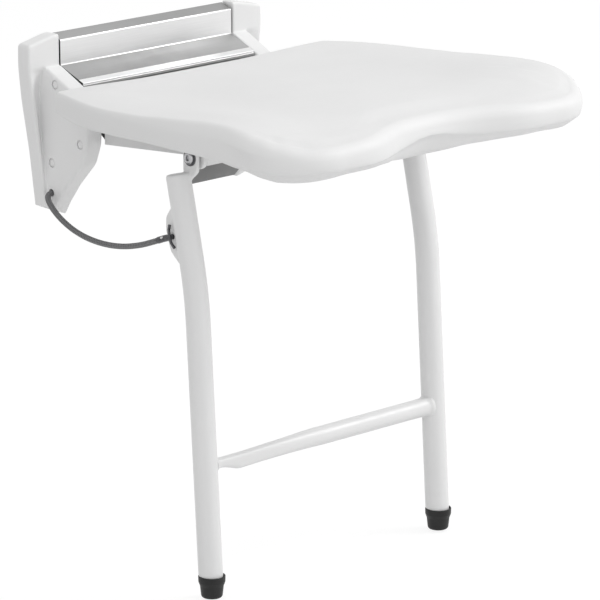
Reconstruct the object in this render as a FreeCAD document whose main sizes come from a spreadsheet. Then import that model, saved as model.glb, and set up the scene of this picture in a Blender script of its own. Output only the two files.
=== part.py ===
import FreeCAD, Part
import math
import os
import Sketcher

# Wall-mounted folding seat with swinging legs, in millimetres.
# X runs across the seat, Y points into the wall, Z is up. The origin is the centre of the
# wall screw pattern, on the wall plane. The floor is at z = -floor_drop.

V = FreeCAD.Vector
doc = FreeCAD.newDocument("wall_seat")
sheet = doc.addObject("Spreadsheet::Sheet", "sizes")

SIZES = [
    # wall rail and its end covers
    ("rail_half", 120.4),
    ("end_gap", 0.8),
    ("cover_depth", 17.5),
    ("cover_skin", 3.0),
    ("gusset_width", 21.0),
    ("plug_radius", 4.2),
    ("plug_length", 2.6),
    # steel side brackets
    ("web_thick", 4.6),
    ("flange_thick", 4.0),
    ("hole_radius", 4.25),
    ("hole_across", 135.0),
    ("hole_up", 65.0),
    # seat hinge
    ("pivot_out", 60.0),
    ("pivot_up", 30.0),
    ("pin_radius", 5.0),
    ("running", 0.05),
    ("bush_wall", 1.5),
    ("arm_inset", 11.4),
    ("arm_thick", 5.5),
    # seat shell
    ("seat_rear", 84.0),
    ("seat_top", 52.0),
    ("seat_tilt", 2.06),
    ("shell_skin", 3.4),
    ("shell_top_skin", 4.2),
    ("dish_depth", 4.0),
    ("rim_round", 7.0),
    ("rim_tuck", 13.0),
    # legs
    ("leg_out", 252.0),
    ("leg_up", 9.0),
    ("leg_across", 163.3),
    ("tube_radius", 12.5),
    ("tube_wall", 1.6),
    ("ear_inset", 10.8),
    ("ear_thick", 5.0),
    ("bolt_radius", 4.0),
    ("bar_radius", 11.0),
    ("bar_drop", 305.0),
    ("floor_drop", 440.0),
    ("beam_out", 216.0),
    ("beam_height", 24.5),
    ("beam_depth", 22.0),
    ("beam_wall", 2.0),
    ("lug_thick", 5.0),
    ("cord_radius", 3.0),
]

for row, (alias, number) in enumerate(SIZES, start=1):
    sheet.set("A%d" % row, alias)
    sheet.set("B%d" % row, "%g" % number)
    sheet.setAlias("B%d" % row, alias)
doc.recompute()

# Lengths that follow from two others: the first, and what is added to or taken from it.
FITS = {
    "cover_inner": ("rail_half", "+", "end_gap"),
    "arm_inner": ("rail_half", "-", "arm_inset"),
    "ear_inner": ("leg_across", "-", "ear_inset"),
}

NODES = []


def size(alias):
    if alias in FITS:
        first, sign, second = FITS[alias]
        return size(first) + (size(second) if sign == "+" else -size(second))
    return float(sheet.get(alias))


def bind(obj, **expressions):
    for prop, text in expressions.items():
        for alias, parts in FITS.items():
            text = text.replace("{%s}" % alias, "({%s} %s {%s})" % parts)
        for alias, _ in SIZES:
            text = text.replace("{%s}" % alias, "sizes." + alias)
        obj.setExpression(prop.replace("__", "."), text)


def keep(obj, name):
    obj.Label = name
    NODES.append(obj)
    return obj


def fillet_corner(before, corner, after, radius):
    """Tangent arc in the corner of two lines: its start, middle and end."""
    a = (before - corner).normalize()
    b = (after - corner).normalize()
    half = math.acos(max(-1.0, min(1.0, a.dot(b)))) / 2
    reach = radius / math.tan(half)
    centre = corner + (a + b).normalize() * (radius / math.sin(half))
    middle = centre + (corner - centre).normalize() * radius
    return corner + a * reach, middle, corner + b * reach


def rounded(points):
    """Closed outline of lines and tangent arcs through (u, v) or (u, v, radius) corners."""
    corners = [V(p[0], p[1], 0) for p in points]
    radii = [p[2] if len(p) > 2 else 0 for p in points]
    ends = []
    count = len(corners)
    for i, corner in enumerate(corners):
        if radii[i] > 0:
            ends.append(fillet_corner(corners[i - 1], corner, corners[(i + 1) % count], radii[i]))
        else:
            ends.append((corner, None, corner))
    geometry = []
    for i in range(count):
        start, middle, end = ends[i]
        if middle is not None:
            geometry.append(Part.Arc(start, middle, end))
        following = ends[(i + 1) % count][0]
        if end.distanceToPoint(following) > 1e-6:
            geometry.append(Part.LineSegment(end, following))
    return geometry


def inset(points, distance):
    """The same closed outline moved inwards; the corners run anticlockwise."""
    moved = []
    count = len(points)
    for i, p in enumerate(points):
        a = V(*points[i - 1][:2], 0)
        b = V(*p[:2], 0)
        c = V(*points[(i + 1) % count][:2], 0)
        d1 = (b - a).normalize()
        d2 = (c - b).normalize()
        n1 = V(-d1.y, d1.x, 0)
        n2 = V(-d2.y, d2.x, 0)
        turn = d1.x * d2.y - d1.y * d2.x
        shift = (n1 + n2) * (distance / (1 + n1.dot(n2)))
        radius = p[2] if len(p) > 2 else 0
        if radius > 0:
            radius = max(radius - math.copysign(distance, turn), 0.8)
        moved.append((b.x + shift.x, b.y + shift.y, radius))
    return moved


class Piece:
    """A body built up from pads and pockets on its own origin planes."""

    def __init__(self, name, node=True):
        self.name = name
        self.body = doc.addObject("PartDesign::Body", name)
        self.features = 0
        if node:
            keep(self.body, name)

    def sketch(self, plane, geometry, offset):
        self.features += 1
        sketch = self.body.newObject("Sketcher::SketchObject", "%s_sketch%d" % (self.name, self.features))
        origin = [f for f in self.body.Origin.OriginFeatures if f.Role == plane + "_Plane"][0]
        sketch.AttachmentSupport = [(origin, "")]
        sketch.MapMode = "FlatFace"
        sketch.addGeometry(geometry, False)
        if offset is not None:
            bind(sketch, AttachmentOffset__Base__z=offset)
        return sketch

    def pad(self, plane, geometry, length, offset=None, back=False):
        sketch = self.sketch(plane, geometry, offset)
        pad = self.body.newObject("PartDesign::Pad", "%s_pad%d" % (self.name, self.features))
        pad.Profile = sketch
        pad.Reversed = back
        bind(pad, Length=length)
        doc.recompute()
        return pad

    def pocket(self, plane, geometry, length, offset=None, along=True, both=False):
        before = self.body.Shape.Volume
        sketch = self.sketch(plane, geometry, offset)
        cut = self.body.newObject("PartDesign::Pocket", "%s_cut%d" % (self.name, self.features))
        cut.Profile = sketch
        cut.Reversed = along
        cut.Midplane = both
        bind(cut, Length=length)
        doc.recompute()
        if not self.body.Shape.Volume < before - 0.01:
            raise RuntimeError("nothing cut from %s by %s" % (self.name, cut.Name))
        return cut

    def round_edges(self, radius, wanted):
        self.features += 1
        tip = self.body.Tip
        names = ["Edge%d" % (i + 1) for i, e in enumerate(tip.Shape.Edges) if wanted(e)]
        if not names:
            raise RuntimeError("no edges to round on " + self.name)
        fillet = self.body.newObject("PartDesign::Fillet", "%s_round%d" % (self.name, self.features))
        fillet.Base = (tip, names)
        bind(fillet, Radius=radius)
        doc.recompute()
        if self.body.Shape.isNull() or not fillet.isValid():
            raise RuntimeError("rounding failed on %s, %d edges" % (self.name, len(names)))
        return fillet


def circle(u, v, radius):
    return Part.Circle(V(u, v, 0), V(0, 0, 1), radius)


def rod(name, radius, length, x, y, z, axis="X"):
    """A cylinder along +X, or up, whose sizes and place follow the sheet."""
    cyl = doc.addObject("Part::Cylinder", name)
    if axis == "X":
        cyl.Placement = FreeCAD.Placement(V(0, 0, 0), FreeCAD.Rotation(V(0, 1, 0), 90))
    elif axis == "Y":
        cyl.Placement = FreeCAD.Placement(V(0, 0, 0), FreeCAD.Rotation(V(1, 0, 0), 90))
    bind(cyl, Radius=radius, Height=length, Placement__Base__x=x, Placement__Base__y=y, Placement__Base__z=z)
    return cyl


def block(name, dx, dy, dz, x, y, z):
    box = doc.addObject("Part::Box", name)
    bind(box, Length=dx, Width=dy, Height=dz, Placement__Base__x=x, Placement__Base__y=y, Placement__Base__z=z)
    return box


def join(name, parts):
    fused = doc.addObject("Part::MultiFuse", name)
    fused.Shapes = parts
    return fused


def group(name, parts):
    """Separate like pieces that share one node."""
    together = doc.addObject("Part::Compound", name)
    together.Links = parts
    return together


def cut(name, base, tool):
    result = doc.addObject("Part::Cut", name)
    result.Base = base
    result.Tool = tool
    return result


SIDES = (("left", -1), ("right", 1))


# Side view of the gusset that stands out from each end cover, as (y, z, corner radius).
GUSSET = [
    (-2.0, -89.0),
    (-2.0, 61.6),
    (-18.6, 61.6, 6.0),
    (-57.0, 43.4, 30.0),
    (-76.0, 39.0, 12.0),
    (-93.2, 38.8, 10.5),
    (-93.2, 20.0, 12.0),
    (-80.4, 6.0, 16.0),
    (-79.4, -12.0, 34.0),
    (-71.4, -33.0, 24.0),
    (-46.0, -60.0, 60.0),
    (-31.0, -80.0, 40.0),
    (-20.5, -97.0, 5.0),
    (-12.0, -93.5, 6.0),
]

# Front view of the cover's block against the wall, as (x, z, corner radius).
BLOCK = [
    (121.2, -92.0),
    (134.0, -92.0, 3.0),
    (143.6, -88.0, 5.0),
    (151.0, -27.0, 260.0),
    (160.6, 30.0, 260.0),
    (164.3, 66.0, 120.0),
    (164.0, 87.2, 4.5),
    (130.0, 94.6, 24.0),
    (121.2, 94.6),
]


def to_left(points):
    return [(-p[0],) + tuple(p[1:]) for p in reversed(points)]


def side_plate(name, geometry, start, length, sign):
    """A plate in side view whose near face is at +start or -start from the middle plane."""
    piece = Piece(name, node=False)
    if sign > 0:
        piece.pad("YZ", geometry, length, start)
    else:
        piece.pad("YZ", geometry, length, "-(%s)" % start, back=True)
    return piece


def end_cover(side, sign):
    """Moulded cover: a shallow hollow block on the wall with the gusset standing out of it."""
    gusset = side_plate("gusset_" + side, rounded(GUSSET), "{cover_inner}", "{gusset_width}", sign)
    outer = sign * (size("cover_inner") + size("gusset_width"))

    def outer_edge(edge):
        box = edge.BoundBox
        return abs(box.XMin - outer) < 1e-3 and abs(box.XMax - outer) < 1e-3 and box.YMax < -3

    gusset.round_edges("4", outer_edge)
    front = BLOCK if sign > 0 else to_left(BLOCK)
    wall_block = Piece("wall_block_" + side, node=False)
    wall_block.pad("XZ", rounded(front), "{cover_depth}")
    depth = size("cover_depth")

    def front_edge(edge):
        box = edge.BoundBox
        flat = abs(box.YMin + depth) < 1e-3 and abs(box.YMax + depth) < 1e-3
        return flat and sign * box.Center.x > size("cover_inner") + 0.5

    wall_block.round_edges("3", front_edge)
    hollow = [
        (120.2, -88.6),
        (133.0, -88.6, 2.0),
        (140.4, -84.6, 3.0),
        (148.0, -27.0, 257.0),
        (157.6, 30.0, 257.0),
        (161.2, 66.0, 117.0),
        (161.0, 84.6, 2.0),
        (130.0, 91.2, 20.0),
        (124.4, 91.2),
        (124.4, 58.4),
        (120.2, 58.4),
    ]
    hollow = hollow if sign > 0 else to_left(hollow)
    room = Piece("block_hollow_" + side, node=False)
    room.pad("XZ", rounded(hollow), "{cover_depth} - {cover_skin}")
    inner = rounded(inset(GUSSET, size("cover_skin") + 0.6))
    depth_in = "{gusset_width} + 1 - {cover_skin}"
    pocket = side_plate("gusset_hollow_" + side, inner, "{cover_inner} - 1", depth_in, sign)
    shell = cut("cover_shell_" + side, join("cover_form_" + side, [gusset.body, wall_block.body]),
                join("cover_room_" + side, [room.body, pocket.body]))
    reach = "{gusset_width} - {web_thick} - 0.8 - 1"
    bosses = side_plate("bosses_" + side, [circle(y, z, 6.0) for y, z in PLUGS],
                        "{cover_inner} + {web_thick} + 0.8", reach, sign)
    wells = side_plate("wells_" + side, [circle(y, z, size("plug_radius") + 0.1) for y, z in PLUGS],
                       "{cover_inner} + {gusset_width} - 6", "8", sign)
    bores = side_plate("bores_" + side, [circle(y, z, 2.3) for y, z in PLUGS], "{cover_inner}", "20", sign)
    tools = [wells.body, bores.body]
    if sign < 0:
        mouth = [circle(CORD[0][1], CORD[0][2], 4.0)]
        hole = side_plate("cord_hole", mouth, "{cover_inner} + 15", "10", sign)
        tools.append(hole.body)
    solid = join("cover_solid_" + side, [shell, bosses.body])
    cover = cut("end_cover_" + side, solid, join("cover_bores_" + side, tools))
    return keep(cover, "end_cover_" + side)


# Screw positions in the gusset's side, as (y, z).
PLUGS = [(-31.5, 46.4), (-69.2, -10.4), (-25.0, -36.6)]

# The pull cord's route from its hole in the left cover to its end at the leg's lug.
CORD = [
    (-138.9, -23.6, -68.3),
    (-146.2, -23.8, -68.7),
    (-151.2, -27.4, -72.4),
    (-152.6, -37.0, -81.4),
    (-153.4, -52.0, -90.4),
    (-154.4, -72.0, -97.8),
    (-155.6, -96.0, -102.2),
    (-157.0, -124.0, -102.9),
    (-158.6, -152.0, -99.8),
    (-160.4, -180.0, -92.9),
    (-162.2, -203.0, -84.6),
    (-163.2, -216.0, -79.4),
    (-163.4, -224.0, -76.6),
]


def side_bracket(side, sign):
    """Steel angle inside the cover: wall flange with two screw holes, and a web for the hinge pin."""
    piece = Piece("side_bracket_" + side)
    web = inset(GUSSET, size("cover_skin") + 1.0)
    web = rounded([(0.0, max(-84.0, min(p[1], 57.0))) if p[0] > -7 else p for p in web])
    if sign > 0:
        piece.pad("YZ", web, "{web_thick}", "{cover_inner} + 0.3")
    else:
        piece.pad("YZ", web, "{web_thick}", "-({cover_inner} + 0.3)", back=True)
    flange = [
        (121.5, -84.0),
        (139.0, -84.0, 4.0),
        (147.2, -27.0, 256.0),
        (156.6, 30.0, 256.0),
        (160.0, 66.0, 116.0),
        (159.6, 80.0, 5.0),
        (124.8, 80.0),
        (124.8, 57.6),
        (121.5, 57.6),
    ]
    if sign < 0:
        flange = to_left(flange)
    piece.pad("XZ", rounded(flange), "{flange_thick}")
    x = sign * size("hole_across")
    z = size("hole_up")
    screws = [circle(x, way * z, size("hole_radius")) for way in (1, -1)]
    piece.pocket("XZ", screws, "{flange_thick} + 2")
    y0 = -size("pivot_out")
    z0 = size("pivot_up")
    bores = [circle(y0, z0, size("pin_radius") + size("running"))]
    bores += [circle(y, z, 1.9) for y, z in PLUGS]
    if sign > 0:
        piece.pocket("YZ", bores, "40", "{cover_inner} - 5")
    else:
        piece.pocket("YZ", bores, "40", "-({cover_inner} - 5)", along=False)
    return piece


def wall_rail():
    """Extruded rail between the covers: hollow box on the wall, sloping step and hooked nose."""
    piece = Piece("wall_rail")
    outline = [
        (0.0, 22.0),
        (0.0, 93.4, 0.8),
        (-15.6, 88.1, 1.5),
        (-15.7, 61.4, 1.0),
        (-43.8, 50.2, 6.0),
        (-51.2, 47.4, 1.4),
        (-51.2, 42.6, 1.0),
        (-48.0, 42.6, 0.8),
        (-47.6, 45.6, 1.6),
        (-18.6, 57.4, 2.0),
        (-3.0, 57.4, 2.0),
        (-3.0, 22.0),
    ]
    cavity = [
        (-2.4, 60.0, 1.0),
        (-13.3, 60.0, 1.0),
        (-13.3, 86.4, 1.0),
        (-2.4, 90.1, 1.0),
    ]
    piece.pad("YZ", rounded(outline), "2 * {rail_half}", "-{rail_half}")
    piece.pocket("YZ", rounded(cavity), "2 * {rail_half} + 2", "-{rail_half} - 1")
    return piece


def hinge_pins():
    """One shouldered pin a side through the bracket's web and the seat's arm."""
    parts = []
    for side, sign in SIDES:
        start = "{arm_inner} - 3"
        span = "{cover_inner} + {web_thick} + 0.3 + 4.5 - ({arm_inner} - 3)"
        x = start if sign > 0 else "-(%s) - (%s)" % (start, span)
        shank = rod("pin_shank_" + side, "{pin_radius}", span, x, "-{pivot_out}", "{pivot_up}")
        head_x = "{arm_inner} - 3 - 3" if sign > 0 else "-({arm_inner} - 3)"
        head = rod("pin_head_" + side, "8.5", "3", head_x, "-{pivot_out}", "{pivot_up}")
        nut_x = "{cover_inner} + {web_thick} + 0.5" if sign > 0 else "-({cover_inner} + {web_thick} + 0.5) - 4"
        nut = rod("pin_clip_" + side, "7.5", "4", nut_x, "-{pivot_out}", "{pivot_up}")
        parts.append(join("hinge_pin_" + side, [shank, head, nut]))
    return keep(group("hinge_pins", parts), "hinge_pins")


def hinge_bushes():
    """Flanged plastic bushes in the arms, with the thrust flange towards the bracket."""
    parts = []
    for side, sign in SIDES:
        a = "{arm_inner}" if sign > 0 else "-{arm_inner} - {arm_thick}"
        sleeve = rod("bush_sleeve_" + side, "{pin_radius} + {running} + {bush_wall}", "{arm_thick}", a,
                     "-{pivot_out}", "{pivot_up}")
        gap = "{cover_inner} + 0.3 - {arm_inner} - {arm_thick} - 0.4"
        b = "{arm_inner} + {arm_thick}" if sign > 0 else "-({arm_inner} + {arm_thick}) - (%s)" % gap
        flange = rod("bush_flange_" + side, "9.5", gap, b, "-{pivot_out}", "{pivot_up}")
        bore = rod("bush_bore_" + side, "{pin_radius} + {running}", "30",
                   "{arm_inner} - 5" if sign > 0 else "-{arm_inner} - 25", "-{pivot_out}", "{pivot_up}")
        parts.append(cut("hinge_bush_" + side, join("bush_body_" + side, [sleeve, flange]), bore))
    return keep(group("hinge_bushes", parts), "hinge_bushes")


def cover_screws():
    """Screws that hold the covers to the brackets, with a shallow head under each plug."""
    parts = []
    for side, sign in SIDES:
        for i, (y, z) in enumerate(PLUGS):
            outer = "({cover_inner} + {gusset_width})"
            inner = "({cover_inner} + 0.5)"
            length = "%s - 3.2 - %s" % (outer, inner)
            x = inner if sign > 0 else "-%s - (%s)" % (inner, length)
            shank = rod("cs_shank_%s%d" % (side, i), "1.85", length, x, "%g" % y, "%g" % z)
            hx = "%s - 6" % outer if sign > 0 else "-%s + 3.2" % outer
            head = rod("cs_head_%s%d" % (side, i), "3.6", "2.8", hx, "%g" % y, "%g" % z)
            parts.append(join("cover_screw_%s%d" % (side, i), [shank, head]))
    return keep(group("cover_screws", parts), "cover_screws")


def screw_plugs(side, sign):
    """Slightly domed round plugs over the three cover screws."""
    parts = []
    for i, (y, z) in enumerate(PLUGS):
        outer = "({cover_inner} + {gusset_width})"
        x = "%s - {plug_length}" % outer if sign > 0 else "-%s - 0.9" % outer
        label = "%s%d" % (side, i)
        disc = rod("plug_disc_" + label, "{plug_radius}", "{plug_length} + 0.9", x, "%g" % y, "%g" % z)
        edge = doc.addObject("Part::Chamfer", "plug_%s%d" % (side, i))
        edge.Base = disc
        doc.recompute()
        top = [
            k + 1 for k, e in enumerate(disc.Shape.Edges)
            if len(e.Vertexes) == 1 and abs(e.CenterOfMass.x) > size("cover_inner") + size("gusset_width")
        ]
        edge.Edges = [(k, 0.8, 0.8) for k in top]
        parts.append(edge)
    return keep(group("screw_plugs_" + side, parts), "screw_plugs_" + side)


# Right half of the seat's outline from the rear corner to the front centre, (x, y, radius).
SEAT = [
    (189.0, -84.0, 10.0),
    (222.0, -165.0, 320.0),
    (231.5, -290.0, 600.0),
    (229.0, -420.0, 72.0),
    (184.0, -465.0, 70.0),
    (108.0, -465.0, 110.0),
    (0.0, -416.0, 150.0),
]

# Depth of the rim under the top plane, at the rear edge and per millimetre forwards.
RIM_REAR = 21.0
RIM_GAIN = 0.0524

# Screws that hold the underside to the shell, as (x, y) behind the rear edge.
PILLAR_SPOTS = ((170.0, -30.0), (203.0, -230.0), (150.0, -345.0), (50.0, -300.0))
PILLARS = [(sign * x, y) for x, y in PILLAR_SPOTS for sign in (-1, 1)]


def seat_outline(distance=0.0):
    """The seat's closed outline, drawn in by a distance, with the rear edge at y = 0."""
    rear = size("seat_rear")
    right = [(p[0], p[1] + rear, p[2]) for p in SEAT]
    left = [(-p[0], p[1], p[2]) for p in right[:-1]]
    loop = left + right[::-1]
    return inset(loop, distance) if distance else loop


def rim_depth(y):
    return RIM_REAR - RIM_GAIN * y


def seat_block(name, distance, top, raise_by, upper, lower):
    """The seat's rounded outer form, or the hollow inside it when drawn in."""
    piece = Piece(name, node=False)
    piece.pad("XY", rounded(seat_outline(distance)), "60", "-%g" % top, back=True)
    rear = raise_by - rim_depth(20.0)
    front = raise_by - rim_depth(-420.0)
    wedge = [(20.0, -90.0), (20.0, rear), (-420.0, front), (-420.0, -90.0)]
    piece.pocket("YZ", rounded(wedge), "600", both=True)

    def upper_rim(edge):
        box = edge.BoundBox
        return box.ZLength < 1e-3 and abs(box.ZMax + top) < 1e-3

    def lower_rim(edge):
        spots = [v.Point for v in edge.Vertexes]
        return all(abs(p.z - raise_by + rim_depth(p.y)) < 0.01 for p in spots)

    if upper:
        piece.round_edges(upper, upper_rim)
    if lower:
        piece.round_edges(lower, lower_rim)
    return piece


def place_seat(obj):
    obj.Placement = FreeCAD.Placement(V(0, 0, 0), FreeCAD.Rotation(V(1, 0, 0), -size("seat_tilt")))
    bind(obj, Placement__Base__y="-{seat_rear}", Placement__Base__z="{seat_top}")


def seat_local(y, z):
    """A point of the side view in the seat's own tilted frame."""
    angle = math.radians(size("seat_tilt"))
    dy = y + size("seat_rear")
    dz = z - size("seat_top")
    return dy * math.cos(angle) - dz * math.sin(angle), dy * math.sin(angle) + dz * math.cos(angle)


def seat_shell():
    """Moulded top with a rounded rim, a shallow dish, a hollow underside and screw pillars."""
    outer = seat_block("shell_outer", 0.0, 0.0, 0.0, "{rim_round}", "{rim_tuck}")
    upper = outer.sketch("XY", rounded(seat_outline(30.0)), "0.05")
    lower = outer.sketch("XY", rounded(seat_outline(48.0)), "-{dish_depth}")
    dish = outer.body.newObject("PartDesign::SubtractiveLoft", "dish")
    dish.Profile = upper
    dish.Sections = [lower]
    doc.recompute()
    skin = size("shell_skin")
    ceiling = size("shell_top_skin") + size("dish_depth")
    inner = seat_block("shell_inner", skin, ceiling, skin, None, "9.6")
    inner.pad("XY", rounded(seat_outline(16.5)), "60", "-%g" % (ceiling + 4.0), back=True)
    hollow = cut("shell_hollow", outer.body, inner.body)
    solids = [hollow]
    tools = []
    for i, (x, y) in enumerate(PILLARS):
        drop = rim_depth(y) - 3.6
        solids.append(
            rod("pillar%d" % i, "6", "%g - {shell_top_skin} - {dish_depth} + 0.5" % drop,
                "%g" % x, "%g" % y, "-%g" % drop, axis="Z"))
        tools.append(rod("pillar_bore%d" % i, "1.9", "9", "%g" % x, "%g" % y, "-%g - 1" % drop, axis="Z"))
    for i, x in enumerate((-150.0, 100.5)):
        tools.append(
            block("bay%d" % i, "49.5", "28", "60", "%g" % x, "-18", "-60 - {shell_top_skin} - {dish_depth}"))
    result = cut("seat_shell", join("shell_body", solids), join("shell_cuts", tools))
    place_seat(result)
    return keep(result, "seat_shell")


# Bottom edge of the trough under the seat, rear and front, as (y, z).
TROUGH = ((-81.5, -11.6), (-212.0, -1.4))


def seat_underside():
    """Closing plate inside the rim, with leg wells and a trough around the seat's arms."""
    piece = Piece("seat_underside")
    piece.pad("XY", rounded(seat_outline(17.0)), "60", back=True)
    below = [(20.0, -90.0), (20.0, -rim_depth(20.0)), (-420.0, -rim_depth(-420.0)), (-420.0, -90.0)]
    piece.pocket("YZ", rounded(below), "600", both=True)
    above = [(20.0, 5.0), (-420.0, 5.0), (-420.0, 3.0 - rim_depth(-420.0)), (20.0, 3.0 - rim_depth(20.0))]
    piece.pocket("YZ", rounded(above), "600", both=True)
    walls = []
    rear, front = TROUGH
    outline = [seat_local(*rear), seat_local(*front), seat_local(front[0], 33.5), seat_local(rear[0], 32.5)]
    for start in ("116.4", "-119"):
        piece.pad("YZ", rounded(outline), "2.6", start)
    floor = [seat_local(*rear), seat_local(*front), seat_local(front[0], front[1] + 2.6),
             seat_local(rear[0], rear[1] + 2.6)]
    piece.pad("YZ", rounded(floor), "238", "-119")
    window = [(-116.4, -13.5), (116.4, -13.5), (116.4, -181.0), (-116.4, -181.0)]
    holes = rounded(window[::-1])
    for sign in (-1, 1):
        well = [(sign * 143.0, -46.0, 8.0), (sign * 182.0, -46.0, 8.0), (sign * 182.0, -196.0, 12.0),
                (sign * 143.0, -196.0, 12.0)]
        holes += rounded(well)
        holes += rounded([(sign * 119.2, 20.0), (sign * 150.0, 20.0), (sign * 150.0, -16.0, 5.0),
                          (sign * 119.2, -16.0)])
    holes += [circle(x, y, 2.2) for x, y in PILLARS]
    top = piece.pocket("XY", holes, "24", "-18.2", along=False)
    place_seat(piece.body)
    return piece


def seat_arms(side, sign):
    """Steel arm from the hinge pin to the cross beam, with a lobe below the hinge."""
    piece = Piece("seat_arm_" + side)
    y0 = -size("pivot_out")
    z0 = size("pivot_up")
    front = -size("beam_out") - size("beam_depth") + 0.5
    outline = [
        (y0 + 13.0, z0 + 13.0, 12.9),
        (y0 + 13.0, z0 - 16.0, 14.0),
        (-77.0, -8.4, 4.0),
        (front + 26.0, 1.4),
        (front + 26.0, 2.0),
        (front, 2.0),
        (front, 43.0, 6.0),
        (-150.0, 43.0, 60.0),
        (y0 - 28.0, 42.5, 6.0),
        (y0 - 20.0, 36.6, 4.0),
        (y0 - 13.5, 35.8, 3.0),
        (y0 - 6.0, z0 + 13.0, 8.0),
    ]
    start = "{arm_inner}" if sign > 0 else "-{arm_inner}"
    piece.pad("YZ", rounded(outline), "{arm_thick}", start, back=sign < 0)
    bores = [circle(y0, z0, size("pin_radius") + size("running") + size("bush_wall"))]
    bores += rounded([(-115.0, 8.0, 8.0), (-115.0, 32.0, 8.0), (-210.0, 34.0, 8.0), (-210.0, 14.0, 8.0)])
    piece.pocket("YZ", bores, "300", both=True)
    return piece


def hinge_rail():
    """Lower extrusion under the wall rail's nose, between the seat's arms, with a front lip."""
    piece = Piece("hinge_rail")
    outline = [
        (-3.3, 36.2),
        (-3.3, 39.2),
        (-49.8, 39.2, 0.8),
        (-49.8, 32.4, 0.8),
        (-47.2, 32.4, 0.8),
        (-47.2, 36.2, 1.6),
    ]
    piece.pad("YZ", rounded(outline), "2 * {arm_inner} - 8", "-{arm_inner} + 4")
    return piece


def cross_beam():
    """Pressed channel between the leg brackets, open behind and deeper at its ends."""
    piece = Piece("cross_beam")
    half = size("ear_inner") - 7.4
    low = 2.0 - size("beam_height")

    def front_view(skin):
        return [
            (-half + skin, low + skin, 4.0 - skin),
            (-84.0 - skin, low + skin, 1.0),
            (-77.0 - skin, low + skin + 5.5, 1.0),
            (77.0 + skin, low + skin + 5.5, 1.0),
            (84.0 + skin, low + skin, 1.0),
            (half - skin, low + skin, 4.0 - skin),
            (half - skin, 2.0 - skin),
            (-half + skin, 2.0 - skin),
        ]

    piece.pad("XZ", rounded(front_view(0.0)), "{beam_depth}", "{beam_out}")
    piece.pocket("XZ", rounded(front_view(size("beam_wall"))), "{beam_depth} - {beam_wall}", "{beam_out}")
    return piece


def leg_bracket(side, sign):
    """Bracket under the seat: pivot plate, foot against the shell and a folded front flange."""
    piece = Piece("leg_bracket_" + side)
    y0 = -size("leg_out")
    z0 = size("leg_up")
    rear = -size("beam_out")
    plate = [
        (y0 - 13.0, z0 - 13.0, 12.0),
        (y0 - 13.0, 47.0),
        (y0 + 13.0, 47.0),
        (rear, 25.0, 12.0),
        (rear, -20.0, 4.0),
        (rear - 21.0, -20.0, 4.0),
        (rear - 24.0, z0 - 13.0, 6.0),
    ]
    start = "{ear_inner} - 7.4" if sign > 0 else "7.4 - {ear_inner}"
    piece.pad("YZ", rounded(plate), "5", start, back=sign < 0)
    foot = [(y0 - 13.0, 43.5), (y0 - 13.0, 47.0), (y0 + 13.0, 47.0), (y0 + 13.0, 43.5)]
    inner = "{ear_inner} - 26.9" if sign > 0 else "26.9 - {ear_inner}"
    piece.pad("YZ", rounded(foot), "20", inner, back=sign < 0)
    flange = [(y0 - 13.0, 1.0), (y0 - 13.0, 26.5), (y0 - 10.5, 26.5), (y0 - 10.5, 1.0)]
    outer = "{ear_inner} - 33.4" if sign > 0 else "33.4 - {ear_inner}"
    piece.pad("YZ", rounded(flange), "27", outer, back=sign < 0)
    piece.pocket("YZ", [circle(y0, z0, size("bolt_radius") + 0.02)], "320", both=True)
    return piece


def hexagon(name, radius, height, x):
    """Hexagonal prism along X on the leg's pivot axis."""
    prism = doc.addObject("Part::Prism", name)
    prism.Polygon = 6
    prism.Placement = FreeCAD.Placement(V(0, 0, 0), FreeCAD.Rotation(V(0, 1, 0), 90))
    bind(prism, Circumradius=radius, Height=height, Placement__Base__x=x,
         Placement__Base__y="-{leg_out}", Placement__Base__z="{leg_up}")
    return prism


def leg_bolts():
    """Shoulder bolts with washers and nuts on which the legs swing."""
    bolts = []
    washers = []
    nuts = []

    def near(start, length, sign):
        """Place along X of something that begins outside the ear's inner face by start."""
        if sign > 0:
            return "{ear_inner} + (%g)" % start
        return "0 - (%g) - {ear_inner}" % (start + length)

    for side, sign in SIDES:
        def turned(name, radius, length, start):
            return rod(name + side, radius, "%g" % length, near(start, length, sign), "-{leg_out}", "{leg_up}")

        shank = turned("bolt_shank_", "{bolt_radius}", 23.4, -14.9)
        head = turned("bolt_head_", "6.2", 2.2, 6.3)
        socket = hexagon("bolt_socket_" + side, "2.9", "3", near(6.9, 3.0, sign))
        bolts.append(cut("leg_bolt_" + side, join("bolt_body_" + side, [shank, head]), socket))
        ring = turned("washer_disc_", "8.4", 1.0, 5.2)
        bore = turned("washer_bore_", "{bolt_radius} + 0.1", 4.0, 4.0)
        washers.append(cut("leg_washer_" + side, ring, bore))
        nut = hexagon("nut_body_" + side, "6.6", "6", near(-13.6, 6.0, sign))
        hole = turned("nut_bore_", "{bolt_radius}", 10.0, -15.0)
        nuts.append(cut("leg_nut_" + side, nut, hole))
    keep(group("leg_bolts", bolts), "leg_bolts")
    keep(group("leg_washers", washers), "leg_washers")
    keep(group("leg_nuts", nuts), "leg_nuts")


# Centreline of a leg in side view, from its top to the floor, as (y, z, radius).
LEG = [(-240.5, -8.0), (-267.0, -126.0, 420.0), (-286.7, -440.0)]


def leg_spine(name, start_drop, end_rise):
    """Centreline of a leg: two straights and the bend between them."""
    top = V(LEG[0][0], LEG[0][1], 0)
    knee = V(LEG[1][0], LEG[1][1], 0)
    foot = V(LEG[2][0], LEG[2][1], 0)
    begin = top + (knee - top).normalize() * start_drop
    finish = foot + (knee - foot).normalize() * end_rise
    a, m, b = fillet_corner(begin, knee, finish, LEG[1][2])
    edges = [Part.LineSegment(begin, a), Part.Arc(a, m, b), Part.LineSegment(b, finish)]
    return edges, begin, (knee - begin).normalize()


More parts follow.
